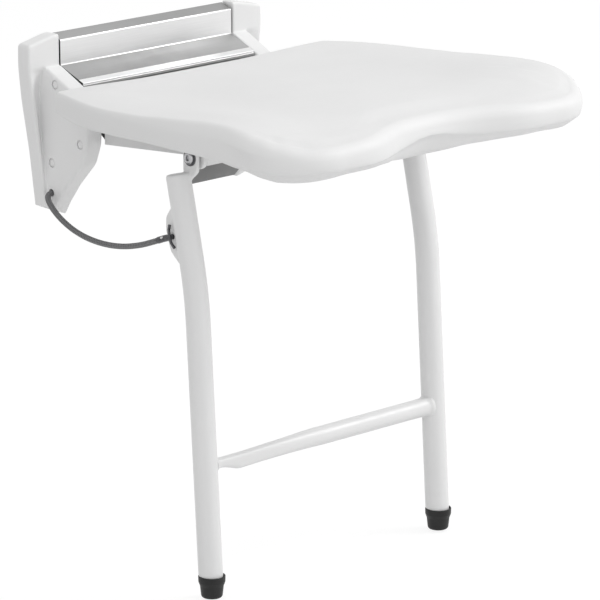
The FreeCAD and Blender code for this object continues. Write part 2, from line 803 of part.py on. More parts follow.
def leg_tube(name, x, radius, start_drop, end_rise):
    edges, begin, along = leg_spine(name, start_drop, end_rise)
    spine = doc.addObject("Sketcher::SketchObject", name + "_spine")
    spine.addGeometry(edges, False)
    spine.Placement = FreeCAD.Placement(V(0, 0, 0), FreeCAD.Rotation(V(1, 1, 1), 120))
    bind(spine, Placement__Base__x=x)
    ring = doc.addObject("Part::Circle", name + "_ring")
    lean = FreeCAD.Rotation(V(0, 0, 1), V(0, along.x, along.y))
    ring.Placement = FreeCAD.Placement(V(0, begin.x, begin.y), lean)
    bind(ring, Radius=radius, Placement__Base__x=x)
    doc.recompute()
    sweep = doc.addObject("Part::Sweep", name)
    sweep.Sections = [ring]
    sweep.Spine = (spine, ["Edge1", "Edge2", "Edge3"])
    sweep.Solid = True
    return sweep


def leg(side, sign):
    """Bent round tube, open at the foot, with a closed top."""
    x = "{leg_across}" if sign > 0 else "-{leg_across}"
    outer = leg_tube("leg_outer_" + side, x, "{tube_radius}", 0.0, 22.0)
    bore = leg_tube("leg_bore_" + side, x, "{tube_radius} - {tube_wall}", 3.0, 20.0)
    return keep(cut("leg_" + side, outer, bore), "leg_" + side)


def leg_ear(side, sign):
    """Flat ear on the leg's inner side that carries the pivot hole."""
    piece = Piece("leg_ear_%s_plate" % side, node=False)
    y0 = -size("leg_out")
    z0 = size("leg_up")
    outline = [
        (y0 + 10.0, z0 + 11.0, 9.0),
        (y0 - 9.0, z0 + 11.0, 9.0),
        (y0 - 9.0, z0 - 15.5, 6.0),
        (-256.0, -11.5, 4.0),
        (-256.0, -44.0, 3.0),
        (-242.0, -44.0, 3.0),
        (y0 + 10.0, z0 - 15.0),
    ]
    start = "{ear_inner}" if sign > 0 else "-{ear_inner}"
    piece.pad("YZ", rounded(outline), "{ear_thick}", start, back=sign < 0)
    piece.pocket("YZ", [circle(y0, z0, size("bolt_radius") + size("running"))], "340", both=True)
    doc.recompute()
    trimmed = cut("leg_ear_%s_solid" % side, piece.body, doc.getObject("leg_outer_" + side))
    return keep(trimmed, "leg_ear_" + side)


def crossbar():
    """Round bar between the legs, fitted to their sides."""
    y = LEG[1][0] + (LEG[2][0] - LEG[1][0]) * (size("bar_drop") + LEG[1][1]) / (LEG[1][1] - LEG[2][1])
    outer = rod("bar_outer", "{bar_radius}", "2 * {leg_across}", "-{leg_across}", "%g" % y, "-{bar_drop}")
    bore = rod("bar_bore", "{bar_radius} - 1.5", "2 * {leg_across}", "-{leg_across}", "%g" % y, "-{bar_drop}")
    tools = [doc.getObject("leg_outer_left"), doc.getObject("leg_outer_right"), bore]
    return keep(cut("crossbar", outer, join("bar_cuts", tools)), "crossbar")


def foot(side, sign):
    """Black rubber tip: collar round the tube's end, rounded sole and a plug inside."""
    lean = -math.degrees(math.atan2(LEG[1][0] - LEG[2][0], LEG[1][1] - LEG[2][1]))
    base = V(0, LEG[2][0], LEG[2][1])
    profile = [(0.0, 0.6), (7.0, 0.6, 0.0), (10.6, 3.2, 3.0), (12.2, 15.0), (13.6, 18.5, 1.5), (13.9, 24.5, 1.0),
               (12.56, 24.5), (12.56, 22.1), (10.86, 22.1), (10.4, 44.0, 2.0), (0.0, 44.0)]
    piece = Piece("foot_" + side)
    sketch = piece.sketch("XZ", rounded(profile), None)
    turn = piece.body.newObject("PartDesign::Revolution", "foot_turn_" + side)
    turn.Profile = sketch
    turn.ReferenceAxis = (sketch, ["V_Axis"])
    turn.Angle = 360
    doc.recompute()
    piece.body.Placement = FreeCAD.Placement(V(0, base.y, 0), FreeCAD.Rotation(V(1, 0, 0), lean))
    x = "{leg_across}" if sign > 0 else "-{leg_across}"
    bind(piece.body, Placement__Base__x=x, Placement__Base__z="-{floor_drop}")
    return piece


def cord_lug():
    """Small plate on the back of the left leg with the hole for the cord's toggle."""
    piece = Piece("cord_lug_plate", node=False)
    outline = [
        (-244.0, -39.0),
        (-233.0, -42.5, 6.0),
        (-224.5, -55.0, 12.0),
        (-224.5, -67.0, 12.0),
        (-231.5, -89.0, 14.0),
        (-246.5, -101.5, 12.0),
        (-256.0, -116.0),
        (-252.0, -39.0),
    ]
    piece.pad("YZ", rounded(outline), "{lug_thick}", "-{leg_across} - {lug_thick} / 2")
    piece.pocket("YZ", [circle(-234.5, -73.1, 2.6)], "400", both=True)
    trimmed = cut("cord_lug_solid", piece.body, doc.getObject("leg_outer_left"))
    return keep(trimmed, "cord_lug")


def cord_toggle():
    """Curved toggle bar through the lug that keeps the cord's loop in place."""
    bar = doc.addObject("Part::Feature", "toggle_bar")
    points = [V(-168.8, -234.0, -62.0), V(-171.2, -235.6, -72.0), V(-168.8, -240.5, -82.0)]
    edge = Part.Arc(*points).toShape()
    direction = edge.tangentAt(edge.FirstParameter)
    ring = Part.Wire([Part.Circle(points[0], direction, 1.7).toShape()])
    bar.Shape = Part.Wire([edge]).makePipeShell([ring], True, False)
    pin = rod("toggle_pin", "2.2", "10.2", "-170.8", "-234.5", "-73.1")
    return keep(join("cord_toggle", [bar, pin]), "cord_toggle")


def tube_along(points, radius):
    """Round tube along straight runs joined by tangent arcs; returns its shape, length and radii."""
    spots = [V(*p) for p in points]
    edges = []
    radii = []
    here = spots[0]
    for before, corner, after in zip(spots, spots[1:], spots[2:]):
        a = (before - corner).normalize()
        b = (after - corner).normalize()
        turn = math.pi - math.acos(max(-1.0, min(1.0, a.dot(b))))
        shorter = min((before - corner).Length, (after - corner).Length)
        bend = 0.45 * shorter / math.tan(turn / 2)
        radii.append(bend)
        start, middle, end = fillet_corner(before, corner, after, bend)
        edges.append(Part.LineSegment(here, start).toShape())
        edges.append(Part.Arc(start, middle, end).toShape())
        here = end
    edges.append(Part.LineSegment(here, spots[-1]).toShape())
    spine = Part.Wire(edges)
    ring = Part.Wire([Part.Circle(spots[0], (spots[1] - spots[0]).normalize(), radius).toShape()])
    return spine.makePipeShell([ring], True, False), spine.Length, radii


def pull_cord():
    """Free cord from the left cover to the leg's lug."""
    radius = size("cord_radius")
    shape, length, radii = tube_along(CORD, radius)
    solid = doc.addObject("Part::Feature", "pull_cord")
    solid.Shape = shape
    print("cord length %.1f, volume %.0f of %.0f" % (length, shape.Volume, math.pi * radius ** 2 * length))
    print("cord radii " + " ".join("%.0f" % r for r in radii))
    return keep(solid, "pull_cord")


def cord_ends():
    """Stopper inside the cover and the crimped sleeve at the leg."""
    x, y, z = CORD[0]
    stop = rod("stopper_rod", "6", "7", "%g" % (x + 0.5), "%g" % y, "%g" % z)
    edge = doc.addObject("Part::Fillet", "cord_stopper")
    edge.Base = stop
    doc.recompute()
    edge.Edges = [(k + 1, 1.5, 1.5) for k, e in enumerate(stop.Shape.Edges) if len(e.Vertexes) == 1]
    keep(edge, "cord_stopper")
    end = V(*CORD[-1])
    along = (end - V(*CORD[-2])).normalize()
    sleeve = doc.addObject("Part::Cylinder", "sleeve")
    sleeve.Placement = FreeCAD.Placement(end, FreeCAD.Rotation(V(0, 0, 1), along))
    bind(sleeve, Radius="{cord_radius} + 0.4", Height="9.4")
    keep(sleeve, "cord_sleeve")


def underside_screws():
    """Pan-head screws through the underside into the shell's pillars."""
    parts = []
    for i, (x, y) in enumerate(PILLARS):
        depth = rim_depth(y)
        shank = rod("us_shank%d" % i, "1.6", "10", "%g" % x, "%g" % y, "-%g - 1" % depth, axis="Z")
        head = rod("us_head%d" % i, "4", "2", "%g" % x, "%g" % y, "-%g - 2.3" % depth, axis="Z")
        parts.append(join("underside_screw%d" % i, [shank, head]))
    result = group("underside_screws", parts)
    place_seat(result)
    return keep(result, "underside_screws")


def build():
    wall_rail()
    for side, sign in SIDES:
        end_cover(side, sign)
        side_bracket(side, sign)
        screw_plugs(side, sign)
    hinge_pins()
    hinge_bushes()
    cover_screws()
    seat_shell()
    seat_underside()
    underside_screws()
    hinge_rail()
    cross_beam()
    for side, sign in SIDES:
        seat_arms(side, sign)
        leg_bracket(side, sign)
    leg_bolts()
    for side, sign in SIDES:
        leg(side, sign)
        leg_ear(side, sign)
        foot(side, sign)
    crossbar()
    cord_lug()
    cord_toggle()
    pull_cord()
    cord_ends()


def write():
    doc.recompute()
    for obj in doc.Objects:
        if "Invalid" in obj.State or "Error" in obj.State:
            raise RuntimeError("%s failed: %s" % (obj.Name, obj.State))
    os.makedirs("parts", exist_ok=True)
    for obj in NODES:
        shape = obj.Shape
        if shape.isNull() or not shape.isValid() or not shape.Solids:
            raise RuntimeError("bad shape: " + obj.Label)
        shape.exportStep("parts/%s.step" % obj.Label)
        box = shape.BoundBox
        print("%-20s %2d solids %9.0f mm3  x %.1f %.1f  y %.1f %.1f  z %.1f %.1f" % (
            obj.Label, len(shape.Solids), shape.Volume, box.XMin, box.XMax, box.YMin, box.YMax, box.ZMin, box.ZMax))


build()
write()
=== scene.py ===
import math

import bmesh
import bpy
from mathutils import Matrix, Vector


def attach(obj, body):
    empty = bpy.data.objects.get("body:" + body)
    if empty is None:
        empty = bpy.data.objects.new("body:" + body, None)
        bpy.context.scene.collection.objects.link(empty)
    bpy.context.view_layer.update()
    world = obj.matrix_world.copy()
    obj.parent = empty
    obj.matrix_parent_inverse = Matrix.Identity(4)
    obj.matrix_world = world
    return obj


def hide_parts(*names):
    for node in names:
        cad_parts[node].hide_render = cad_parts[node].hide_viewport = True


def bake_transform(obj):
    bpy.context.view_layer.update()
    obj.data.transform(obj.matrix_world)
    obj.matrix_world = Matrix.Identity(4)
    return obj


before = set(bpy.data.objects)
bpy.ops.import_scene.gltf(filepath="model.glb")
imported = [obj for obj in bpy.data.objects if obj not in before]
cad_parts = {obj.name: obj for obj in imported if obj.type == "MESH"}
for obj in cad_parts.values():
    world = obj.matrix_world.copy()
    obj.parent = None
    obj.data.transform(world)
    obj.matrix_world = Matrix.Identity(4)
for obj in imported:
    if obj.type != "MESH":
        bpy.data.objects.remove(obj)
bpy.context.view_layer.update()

# Wall-mounted folding seat with two swinging legs. The wall is the plane y = 0 and the floor is
# at FLOOR. Tables are in millimetres, what goes into the scene is in metres.
MM = 0.001
FLOOR = -0.44
LEFT, RIGHT = -1, 1


# curves
def ramp(value, start, length):
    """0 up to the start, then straight up to 1 over the length."""
    return max(0.0, min(1.0, (value - start) / length))


def eased(t):
    return t * t * (3 - 2 * t)


def through(table, value):
    """Reads a smooth curve given as (position, height) pairs."""
    if value <= table[0][0]:
        return table[0][1]
    for (a, low), (b, high) in zip(table, table[1:]):
        if value <= b:
            t = (value - a) / (b - a)
            return low + (high - low) * (eased(t) + t) / 2
    return table[-1][1]


def anticlockwise(corners):
    area = sum(a[0] * b[1] - a[1] * b[0] for a, b in zip(corners, corners[1:] + corners[:1]))
    return corners if area > 0 else corners[::-1]


def circle(count):
    """Cosines and sines of evenly spaced angles, once around."""
    angles = [2 * math.pi * k / count for k in range(count)]
    return [(math.cos(a), math.sin(a)) for a in angles]


# modelling helpers
def deselect():
    if bpy.context.object and bpy.context.object.mode != "OBJECT":
        bpy.ops.object.mode_set(mode="OBJECT")
    bpy.ops.object.select_all(action="DESELECT")


def only(piece):
    deselect()
    piece.select_set(True)
    bpy.context.view_layer.objects.active = piece
    return piece


def edit(piece, kind="FACE"):
    """Edit mode on one piece with nothing selected; returns its mesh for choosing by place."""
    only(piece)
    bpy.ops.object.mode_set(mode="EDIT")
    bpy.ops.mesh.select_mode(type=kind)
    bpy.ops.mesh.select_all(action="DESELECT")
    mesh = bmesh.from_edit_mesh(piece.data)
    for group in (mesh.verts, mesh.edges, mesh.faces):
        group.ensure_lookup_table()
    return mesh


def edit_all(piece):
    edit(piece)
    bpy.ops.mesh.select_all(action="SELECT")


def choose(piece, mesh, items):
    for item in items:
        item.select_set(True)
    mesh.select_flush_mode()
    bmesh.update_edit_mesh(piece.data)


def done(piece):
    bpy.ops.object.mode_set(mode="OBJECT")
    return piece


def apply_all(piece):
    only(piece)
    for modifier in list(piece.modifiers):
        bpy.ops.object.modifier_apply(modifier=modifier.name)
    return piece


def modify(piece, kind, **settings):
    modifier = piece.modifiers.new(kind.lower(), kind)
    for key, value in settings.items():
        setattr(modifier, key, value)
    return apply_all(piece)


def smooth(piece, degrees=35):
    only(piece)
    bpy.ops.object.shade_smooth_by_angle(angle=math.radians(degrees))
    return piece


LEAST_RADIUS = 0.4


def corner_points(corners, grow=0.0, pitch=6.0):
    """Closed line through (u, v) or (u, v, radius) corners, given anticlockwise.

    Grow moves it outwards. Long straight runs beside a round corner get points of their own.
    """
    count = len(corners)
    flat = [Vector(c[:2]) for c in corners]
    moved, radii, turns = [], [], []
    for i in range(count):
        a = (flat[i] - flat[i - 1]).normalized()
        b = (flat[(i + 1) % count] - flat[i]).normalized()
        out_a, out_b = Vector((a.y, -a.x)), Vector((b.y, -b.x))
        way = (out_a + out_b).normalized()
        moved.append(flat[i] + way * (grow / max(0.3, way.dot(out_a))))
        turn = a.x * b.y - a.y * b.x
        radius = corners[i][2] if len(corners[i]) > 2 else 0.0
        change = grow if turn > 0 else -grow
        radii.append(max(LEAST_RADIUS, radius + change) if radius else 0.0)
        turns.append(a.angle(b))
    points = []
    for i in range(count):
        here, before, after = moved[i], moved[i - 1], moved[(i + 1) % count]
        a, b = (before - here).normalized(), (after - here).normalized()
        base = corners[i][2] if len(corners[i]) > 2 else 0.0
        if not radii[i]:
            points.append(here)
        else:
            steps = max(3, min(28, int(math.degrees(turns[i]) / 5) + int(base * turns[i] / 24)))
            reach = radii[i] * math.tan(turns[i] / 2)
            start, end = here + a * reach, here + b * reach
            centre = here + (a + b).normalized() * (radii[i] / math.cos(turns[i] / 2))
            spoke, last = start - centre, end - centre
            sweep = spoke.angle_signed(last)
            for k in range(steps + 1):
                points.append(centre + Matrix.Rotation(-sweep * k / steps, 2) @ spoke)
        following = corners[(i + 1) % count]
        run = (flat[(i + 1) % count] - flat[i]).length
        extra = int(run / pitch / 3) if len(following) > 2 or base else 0
        points.append(extra)
    return spread(points)


def spread(points):
    """Fills the straight runs, each marked with a count, with evenly spaced points."""
    filled = []
    for i, p in enumerate(points):
        if isinstance(p, Vector):
            filled.append(p)
        elif p:
            start = filled[-1]
            rest = [q for q in points[i + 1:] if isinstance(q, Vector)]
            end = rest[0] if rest else points[0]
            filled += [start.lerp(end, (k + 1) / (p + 1)) for k in range(p)]
    return filled


def loft(name, loops):
    """A circle is added, laid on the first loop, extruded from loop to loop and closed."""
    deselect()
    bpy.ops.mesh.primitive_circle_add(vertices=len(loops[0]), radius=0.01)
    piece = bpy.context.object
    piece.name = piece.data.name = name
    mesh = edit(piece, "EDGE")
    ring = list(mesh.verts)
    for vertex, point in zip(ring, loops[0]):
        vertex.co = point
    mesh.faces.new(ring)
    for edge in ring_edges(ring):
        edge.select_set(True)
    bmesh.update_edit_mesh(piece.data)
    for loop in loops[1:]:
        known = set(ring)
        bpy.ops.mesh.extrude_edges_move()
        mesh = bmesh.from_edit_mesh(piece.data)
        chosen = {v for v in mesh.verts if v.select}
        following = []
        for vertex in ring:
            for link in vertex.link_edges:
                other = link.other_vert(vertex)
                if other in chosen and other not in known:
                    following.append(other)
        ring = following
        for vertex, point in zip(ring, loop):
            vertex.co = point
        bmesh.update_edit_mesh(piece.data)
    bpy.ops.mesh.edge_face_add()
    bpy.ops.mesh.select_all(action="SELECT")
    bpy.ops.mesh.normals_make_consistent(inside=False)
    return done(piece)


def ring_edges(ring):
    found = []
    for i, vertex in enumerate(ring):
        for edge in vertex.link_edges:
            if edge.other_vert(vertex) is ring[(i + 1) % len(ring)]:
                found.append(edge)
    return found


def slab(name, corners, plane, start, end, pitch=6.0):
    """A flat outline across an axis, extruded from start to end along it, in millimetres."""
    points = corner_points(anticlockwise(corners), pitch=pitch)

    def at(p, w):
        return Vector({"X": (w, p.x, p.y), "Y": (p.x, w, p.y), "Z": (p.x, p.y, w)}[plane]) * MM

    return loft(name, [[at(p, start) for p in points], [at(p, end) for p in points]])


def bevel_where(piece, test, width, segments=4, angle=30):
    """Rounds the sharp edges whose middle passes the test; width in millimetres."""
    mesh = edit(piece, "EDGE")
    sharp = [
        e for e in mesh.edges
        if len(e.link_faces) == 2 and e.calc_face_angle(0) > math.radians(angle)
        and test((e.verts[0].co + e.verts[1].co) / (2 * MM))
    ]
    choose(piece, mesh, sharp)
    bpy.ops.mesh.bevel(offset=width * MM, segments=segments, profile=0.5)
    return done(piece)


def cut_with(piece, tool):
    modify(piece, "BOOLEAN", object=tool, operation="DIFFERENCE", solver="EXACT")
    bpy.data.objects.remove(tool)
    return piece


def fuse(name, parts):
    deselect()
    for part in parts:
        part.select_set(True)
    bpy.context.view_layer.objects.active = parts[0]
    if len(parts) > 1:
        bpy.ops.object.join()
    piece = bpy.context.object
    piece.name = piece.data.name = name
    return piece


def melt(piece, voxel, rounds):
    """Fuses what overlaps into one skin and softens its creases, as paint and moulds do."""
    modify(piece, "REMESH", mode="VOXEL", voxel_size=voxel * MM, use_smooth_shade=True)
    return modify(piece, "SMOOTH", factor=0.5, iterations=rounds)


def rod(name, a, b, radius, vertices=32, rounding=0.4):
    """A round bar between two points with softened rims, in millimetres."""
    deselect()
    a, b = Vector(a), Vector(b)
    bpy.ops.mesh.primitive_cylinder_add(vertices=vertices, radius=radius * MM,
                                        depth=(b - a).length * MM)
    piece = bpy.context.object
    piece.name = piece.data.name = name
    if rounding:
        bevel_where(piece, lambda p: True, rounding, 3, 60)
    turn = (b - a).to_track_quat("Z", "Y").to_matrix().to_4x4()
    piece.data.transform(Matrix.Translation((a + b) / 2 * MM) @ turn)
    return piece


def block_of(low, high):
    """A plain block between two corners, to cut with."""
    deselect()
    bpy.ops.mesh.primitive_cube_add(size=1)
    tool = bpy.context.object
    low, high = Vector(low), Vector(high)
    scale = Matrix.Diagonal((*(high - low) * MM, 1))
    tool.data.transform(Matrix.Translation((low + high) / 2 * MM) @ scale)
    return tool


def softened(piece, width):
    modify(piece, "BEVEL", width=width * MM, segments=2, limit_method="ANGLE",
           angle_limit=math.radians(40))
    return smooth(piece)


def copied(node, name):
    """A copy of a CAD node with its loose triangles merged."""
    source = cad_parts[node]
    piece = bpy.data.objects.new(name, source.data.copy())
    bpy.context.scene.collection.objects.link(piece)
    piece.data.materials.clear()
    piece.data.name = name
    edit_all(piece)
    bpy.ops.mesh.customdata_custom_splitnormals_clear()
    bpy.ops.mesh.remove_doubles(threshold=2e-5)
    bpy.ops.mesh.tris_convert_to_quads(face_threshold=0.02, shape_threshold=3.1)
    return done(piece)


def finish_piece(piece, body, material, slot, *nodes):
    piece.data.materials.clear()
    piece.data.materials.append(material)
    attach(piece, body)
    if nodes:
        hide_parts(*nodes)
    return piece


# finishes
def grey(value, blue=None):
    return (value, value, value if blue is None else blue)


def shader(name, colour, roughness, **sockets):
    """A finish with its plain values on the shader; returns the material and the shader."""
    material = bpy.data.materials.new(name)
    material.use_nodes = True
    surface = material.node_tree.nodes["Principled BSDF"]
    surface.inputs["Base Color"].default_value = (*colour, 1)
    surface.inputs["Roughness"].default_value = roughness
    for socket, value in sockets.items():
        surface.inputs[socket.replace("_", " ")].default_value = value
    return material, surface


def add(tree, kind, links=(), **values):
    node = tree.nodes.new(kind)
    for key, value in values.items():
        socket = key.replace("_", " ")
        if socket in node.inputs.keys():
            node.inputs[socket].default_value = value
        else:
            setattr(node, key, value)
    for output, socket in links:
        tree.links.new(output, node.inputs[socket])
    return node


NOISE_LOW, NOISE_HIGH = 0.3, 0.7


def grain(surface, scale, detail=3.0, stretch=None):
    tree = surface.id_data
    source = add(tree, "ShaderNodeTexCoord").outputs["Object"]
    if stretch:
        laid = add(tree, "ShaderNodeMapping", [(source, "Vector")], Scale=stretch)
        source = laid.outputs["Vector"]
    return add(tree, "ShaderNodeTexNoise", [(source, "Vector")], Scale=scale, Detail=detail)


def vary(surface, texture, low, high):
    """Lets a texture move the roughness between low and high."""
    tree = surface.id_data
    ranged = add(tree, "ShaderNodeMapRange", [(texture.outputs["Fac"], "Value")],
                 From_Min=NOISE_LOW, From_Max=NOISE_HIGH, To_Min=low, To_Max=high)
    tree.links.new(ranged.outputs["Result"], surface.inputs["Roughness"])


def tint(surface, texture, dark, light):
    tree = surface.id_data
    colours = add(tree, "ShaderNodeValToRGB", [(texture.outputs["Fac"], "Fac")])
    for stop, position, colour in zip(colours.color_ramp.elements, (NOISE_LOW, NOISE_HIGH),
                                      (dark, light)):
        stop.position = position
        stop.color = (*colour, 1)
    tree.links.new(colours.outputs["Color"], surface.inputs["Base Color"])


def bump(surface, texture, strength, depth):
    tree = surface.id_data
    node = add(tree, "ShaderNodeBump", [(texture.outputs["Fac"], "Height")],
               Strength=strength, Distance=depth)
    tree.links.new(node.outputs["Normal"], surface.inputs["Normal"])


def moulded(name, light, dark, rough):
    """Moulded plastic: fine satin texture, faint cloudiness from the mould."""
    material, surface = shader(name, light, rough, Specular_IOR_Level=0.42, IOR=1.49)
    tint(surface, grain(surface, 9.0, 2.0), dark, light)
    vary(surface, grain(surface, 140.0), rough - 0.05, rough + 0.07)
    bump(surface, grain(surface, 1500.0, 2.0), 0.12, 0.00012)
    return material


def powder(name, light, dark, rough=0.33):
    """Powder coat: smooth and satin, with a soft orange-peel."""
    material, surface = shader(name, light, rough, Specular_IOR_Level=0.5, IOR=1.52)
    tint(surface, grain(surface, 14.0, 2.0), dark, light)
    vary(surface, grain(surface, 90.0), rough - 0.05, rough + 0.08)
    bump(surface, grain(surface, 420.0, 2.0), 0.14, 0.0003)
    return material


def brushed(name, light, dark, rough, stretch):
    """Extruded aluminium: fine lines along the profile under a satin anodised skin."""
    material, surface = shader(name, light, rough, Metallic=1.0, Anisotropic=0.45)
    lines = grain(surface, 900.0, 3.0, stretch)
    tint(surface, lines, dark, light)
    vary(surface, grain(surface, 40.0, 2.0), rough - 0.04, rough + 0.06)
    bump(surface, lines, 0.05, 0.0001)
    return material


def plated(name, light, dark, rough=0.3):
    """Plated steel with small stains in the plating."""
    material, surface = shader(name, light, rough, Metallic=1.0)
    spots = grain(surface, 260.0, 4.0)
    tint(surface, spots, dark, light)
    vary(surface, spots, rough - 0.08, rough + 0.14)
    bump(surface, spots, 0.15, 0.0001)
    return material


def rubber(name):
    """Matt black rubber with a worn, slightly greyer bloom."""
    material, surface = shader(name, grey(0.012), 0.5, Specular_IOR_Level=0.35)
    bloom = grain(surface, 60.0, 4.0)
    tint(surface, bloom, grey(0.006), grey(0.018))
    vary(surface, bloom, 0.38, 0.6)
    bump(surface, grain(surface, 900.0), 0.2, 0.0002)
    return material


def braided(name):
    """Two crossing spirals of strands, laid along the cord by its own map."""
    material, surface = shader(name, grey(0.1), 0.5, Specular_IOR_Level=0.5)
    tree = surface.id_data
    along = add(tree, "ShaderNodeTexCoord").outputs["UV"]
    laid = add(tree, "ShaderNodeMapping", [(along, "Vector")], Scale=(110.0, 4.0, 1.0))
    strands = []
    for lean in (0.9, -0.9):
        sheared = add(tree, "ShaderNodeVectorMath", [(laid.outputs["Vector"], 0)],
                      operation="DOT_PRODUCT")
        sheared.inputs[1].default_value = (1.0, lean, 0.0)
        wave = add(tree, "ShaderNodeMath", [(sheared.outputs["Value"], 0)], operation="MULTIPLY")
        wave.inputs[1].default_value = 2 * math.pi
        sine = add(tree, "ShaderNodeMath", [(wave.outputs["Value"], 0)], operation="SINE")
        strands.append(sine.outputs["Value"])
    weave = add(tree, "ShaderNodeMath", [(strands[0], 0), (strands[1], 1)], operation="MAXIMUM")
    ranged = add(tree, "ShaderNodeMapRange", [(weave.outputs["Value"], "Value")], From_Min=-1.0)
    colours = add(tree, "ShaderNodeValToRGB", [(ranged.outputs["Result"], "Fac")])
    colours.color_ramp.elements[0].color = (0.035, 0.035, 0.037, 1)
    colours.color_ramp.elements[1].color = (0.2, 0.2, 0.205, 1)
    tree.links.new(colours.outputs["Color"], surface.inputs["Base Color"])
    lift = add(tree, "ShaderNodeBump", [(ranged.outputs["Result"], "Height")],
               Strength=0.5, Distance=0.0005)
    tree.links.new(lift.outputs["Normal"], surface.inputs["Normal"])
    return material


ALONG_X, ALL_WAYS = (0.02, 1.0, 1.0), (1.0, 1.0, 1.0)
SEAT_WHITE = moulded("seat_white_plastic", grey(0.84), grey(0.815), 0.52)
PAN_WHITE = moulded("underside_plastic", grey(0.80), grey(0.77), 0.42)
COVER_WHITE = moulded("cover_plastic", grey(0.87), grey(0.85), 0.42)
PLUG_WHITE = moulded("plug_plastic", grey(0.84), grey(0.82), 0.24)
LEG_WHITE = powder("leg_powder_coat", grey(0.84), grey(0.82))
BEAM_GREY = powder("beam_powder_coat", grey(0.235), grey(0.21), 0.42)
ARM_DARK = powder("arm_powder_coat", grey(0.02, 0.021), grey(0.015, 0.016), 0.4)
RAIL_ALUMINIUM = brushed("rail_aluminium", grey(0.84), grey(0.8), 0.34, ALONG_X)
# painted shade: a darker copy of the rail's aluminium for its upward-facing slopes
SHADED_SLOPE_ALUMINIUM = brushed("slope_aluminium_painted_shade", grey(0.4), grey(0.38), 0.6, ALONG_X)
STRIP_ALUMINIUM = brushed("strip_aluminium", grey(0.5), grey(0.44), 0.4, ALONG_X)
# painted shade: a grey for the rail's low nose face
NOSE_PAINTED_SHADE = powder("rail_nose_painted_shade", grey(0.42), grey(0.38), 0.4)
# painted shade: a near-black copy of the rail's aluminium for its cut ends
END_PAINTED_SHADE = brushed("rail_end_painted_shade", grey(0.1), grey(0.06), 0.45, ALL_WAYS)
ZINC = plated("zinc_plated_steel", grey(0.55, 0.56), grey(0.42, 0.43), 0.36)
BOLT_DARK = plated("dark_plated_steel", grey(0.12, 0.125), grey(0.06, 0.065), 0.3)
RUBBER = rubber("foot_rubber")
BRAID = braided("braided_cord")

NODE_FINISH = {
    "wall_rail": RAIL_ALUMINIUM, "hinge_rail": STRIP_ALUMINIUM, "end_cover": COVER_WHITE,
    "screw_plugs": PLUG_WHITE, "side_bracket": ZINC, "cover_screws": ZINC,
    "hinge_pins": BOLT_DARK, "hinge_bushes": RUBBER, "seat_shell": SEAT_WHITE,
    "seat_underside": PAN_WHITE, "underside_screws": ZINC, "seat_arm": ARM_DARK,
    "cross_beam": BEAM_GREY, "leg_bracket": LEG_WHITE, "leg_bolts": BOLT_DARK,
    "leg_washers": BOLT_DARK, "leg_nuts": BOLT_DARK, "leg": LEG_WHITE, "leg_ear": LEG_WHITE,
    "foot": RUBBER, "crossbar": LEG_WHITE, "cord_lug": LEG_WHITE, "cord_toggle": BOLT_DARK,
    "cord_sleeve": BOLT_DARK, "cord_stopper": RUBBER, "pull_cord": BRAID,
}
for node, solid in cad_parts.items():
    kind = node.removesuffix("_left").removesuffix("_right")
    solid.data.materials.clear()
    solid.data.materials.append(NODE_FINISH[kind])


# camera
PICTURE, SENSOR = 600, 36


def look(target, distance, azimuth, elevation, focal_pixels, centre_pixels):
    """Camera at the photograph's angle; the frame is PICTURE pixels square."""
    turn, rise = math.radians(azimuth), math.radians(elevation)
    level = math.cos(rise)
    back = Vector((math.sin(turn) * level, -math.cos(turn) * level, math.sin(rise)))
    data = bpy.data.cameras.new("camera")
    camera = bpy.data.objects.new("camera", data)
    bpy.context.scene.collection.objects.link(camera)
    camera.location = Vector(target) + back * distance
    camera.rotation_mode = "QUATERNION"
    camera.rotation_quaternion = (-back).to_track_quat("-Z", "Y")
    data.sensor_width = SENSOR
    data.lens = focal_pixels * SENSOR / PICTURE
    data.shift_x = (PICTURE / 2 - centre_pixels[0]) / PICTURE
    data.shift_y = (centre_pixels[1] - PICTURE / 2) / PICTURE
    data.clip_start, data.clip_end = 0.05, 60
    bpy.context.scene.camera = camera


look((0.02092, -0.223, -0.190), 4.55476, -44.01, 15.0, 4412.46, (299.42, 314.21))


# pull cord
CORD_RADIUS = 3.0
CORD = [
    (-138.9, -23.6, -68.3), (-146.2, -23.8, -68.7), (-151.2, -27.4, -72.4),
    (-152.6, -37.0, -81.4), (-153.4, -52.0, -90.4), (-154.4, -72.0, -97.8),
    (-155.6, -96.0, -102.2), (-157.0, -124.0, -102.9), (-158.6, -152.0, -99.8),
    (-160.4, -180.0, -92.9), (-162.2, -203.0, -84.6), (-163.2, -216.0, -79.4),
    (-163.4, -224.0, -76.6),
]


def cord_curve(name, thickness):
    data = bpy.data.curves.new(name, "CURVE")
    data.dimensions = "3D"
    spline = data.splines.new("NURBS")
    spline.points.add(len(CORD) - 1)
    for point, place in zip(spline.points, CORD):
        point.co = (*(v * MM for v in place), 1.0)
    spline.order_u = 3
    spline.use_endpoint_u = True
    spline.resolution_u = 12
    data.bevel_depth = thickness
    data.bevel_resolution = 5
    data.use_fill_caps = thickness > 0
    piece = bpy.data.objects.new(name, data)
    bpy.context.scene.collection.objects.link(piece)
    return piece


def pull_cord():
    """Braided cord from its hole in the left cover to the leg."""
    thread = cord_curve("cord_line", 0.0)
    line = bpy.data.meshes.new_from_object(thread)
    bpy.data.objects.remove(thread)
    piece = cord_curve("braided_pull_cord", CORD_RADIUS * MM)
    only(piece)
    bpy.ops.object.convert(target="MESH")
    piece = bpy.context.object
    piece.data.name = piece.name
    smooth(piece, 50)
    piece.data.materials.append(BRAID)
    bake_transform(piece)
    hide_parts("pull_cord")


pull_cord()


# seat: half of its outline as (x, y, corner radius), from the rear to the middle of the front
SEAT = [(189.0, -84.0, 10.0), (222.0, -165.0, 320.0), (231.5, -290.0, 600.0),
        (229.0, -420.0, 72.0), (184.0, -465.0, 70.0), (108.0, -465.0, 110.0),
        (0.0, -416.0, 150.0)]
SEAT_REAR, SEAT_TOP, SEAT_TILT = -84.0, 52.0, 2.06


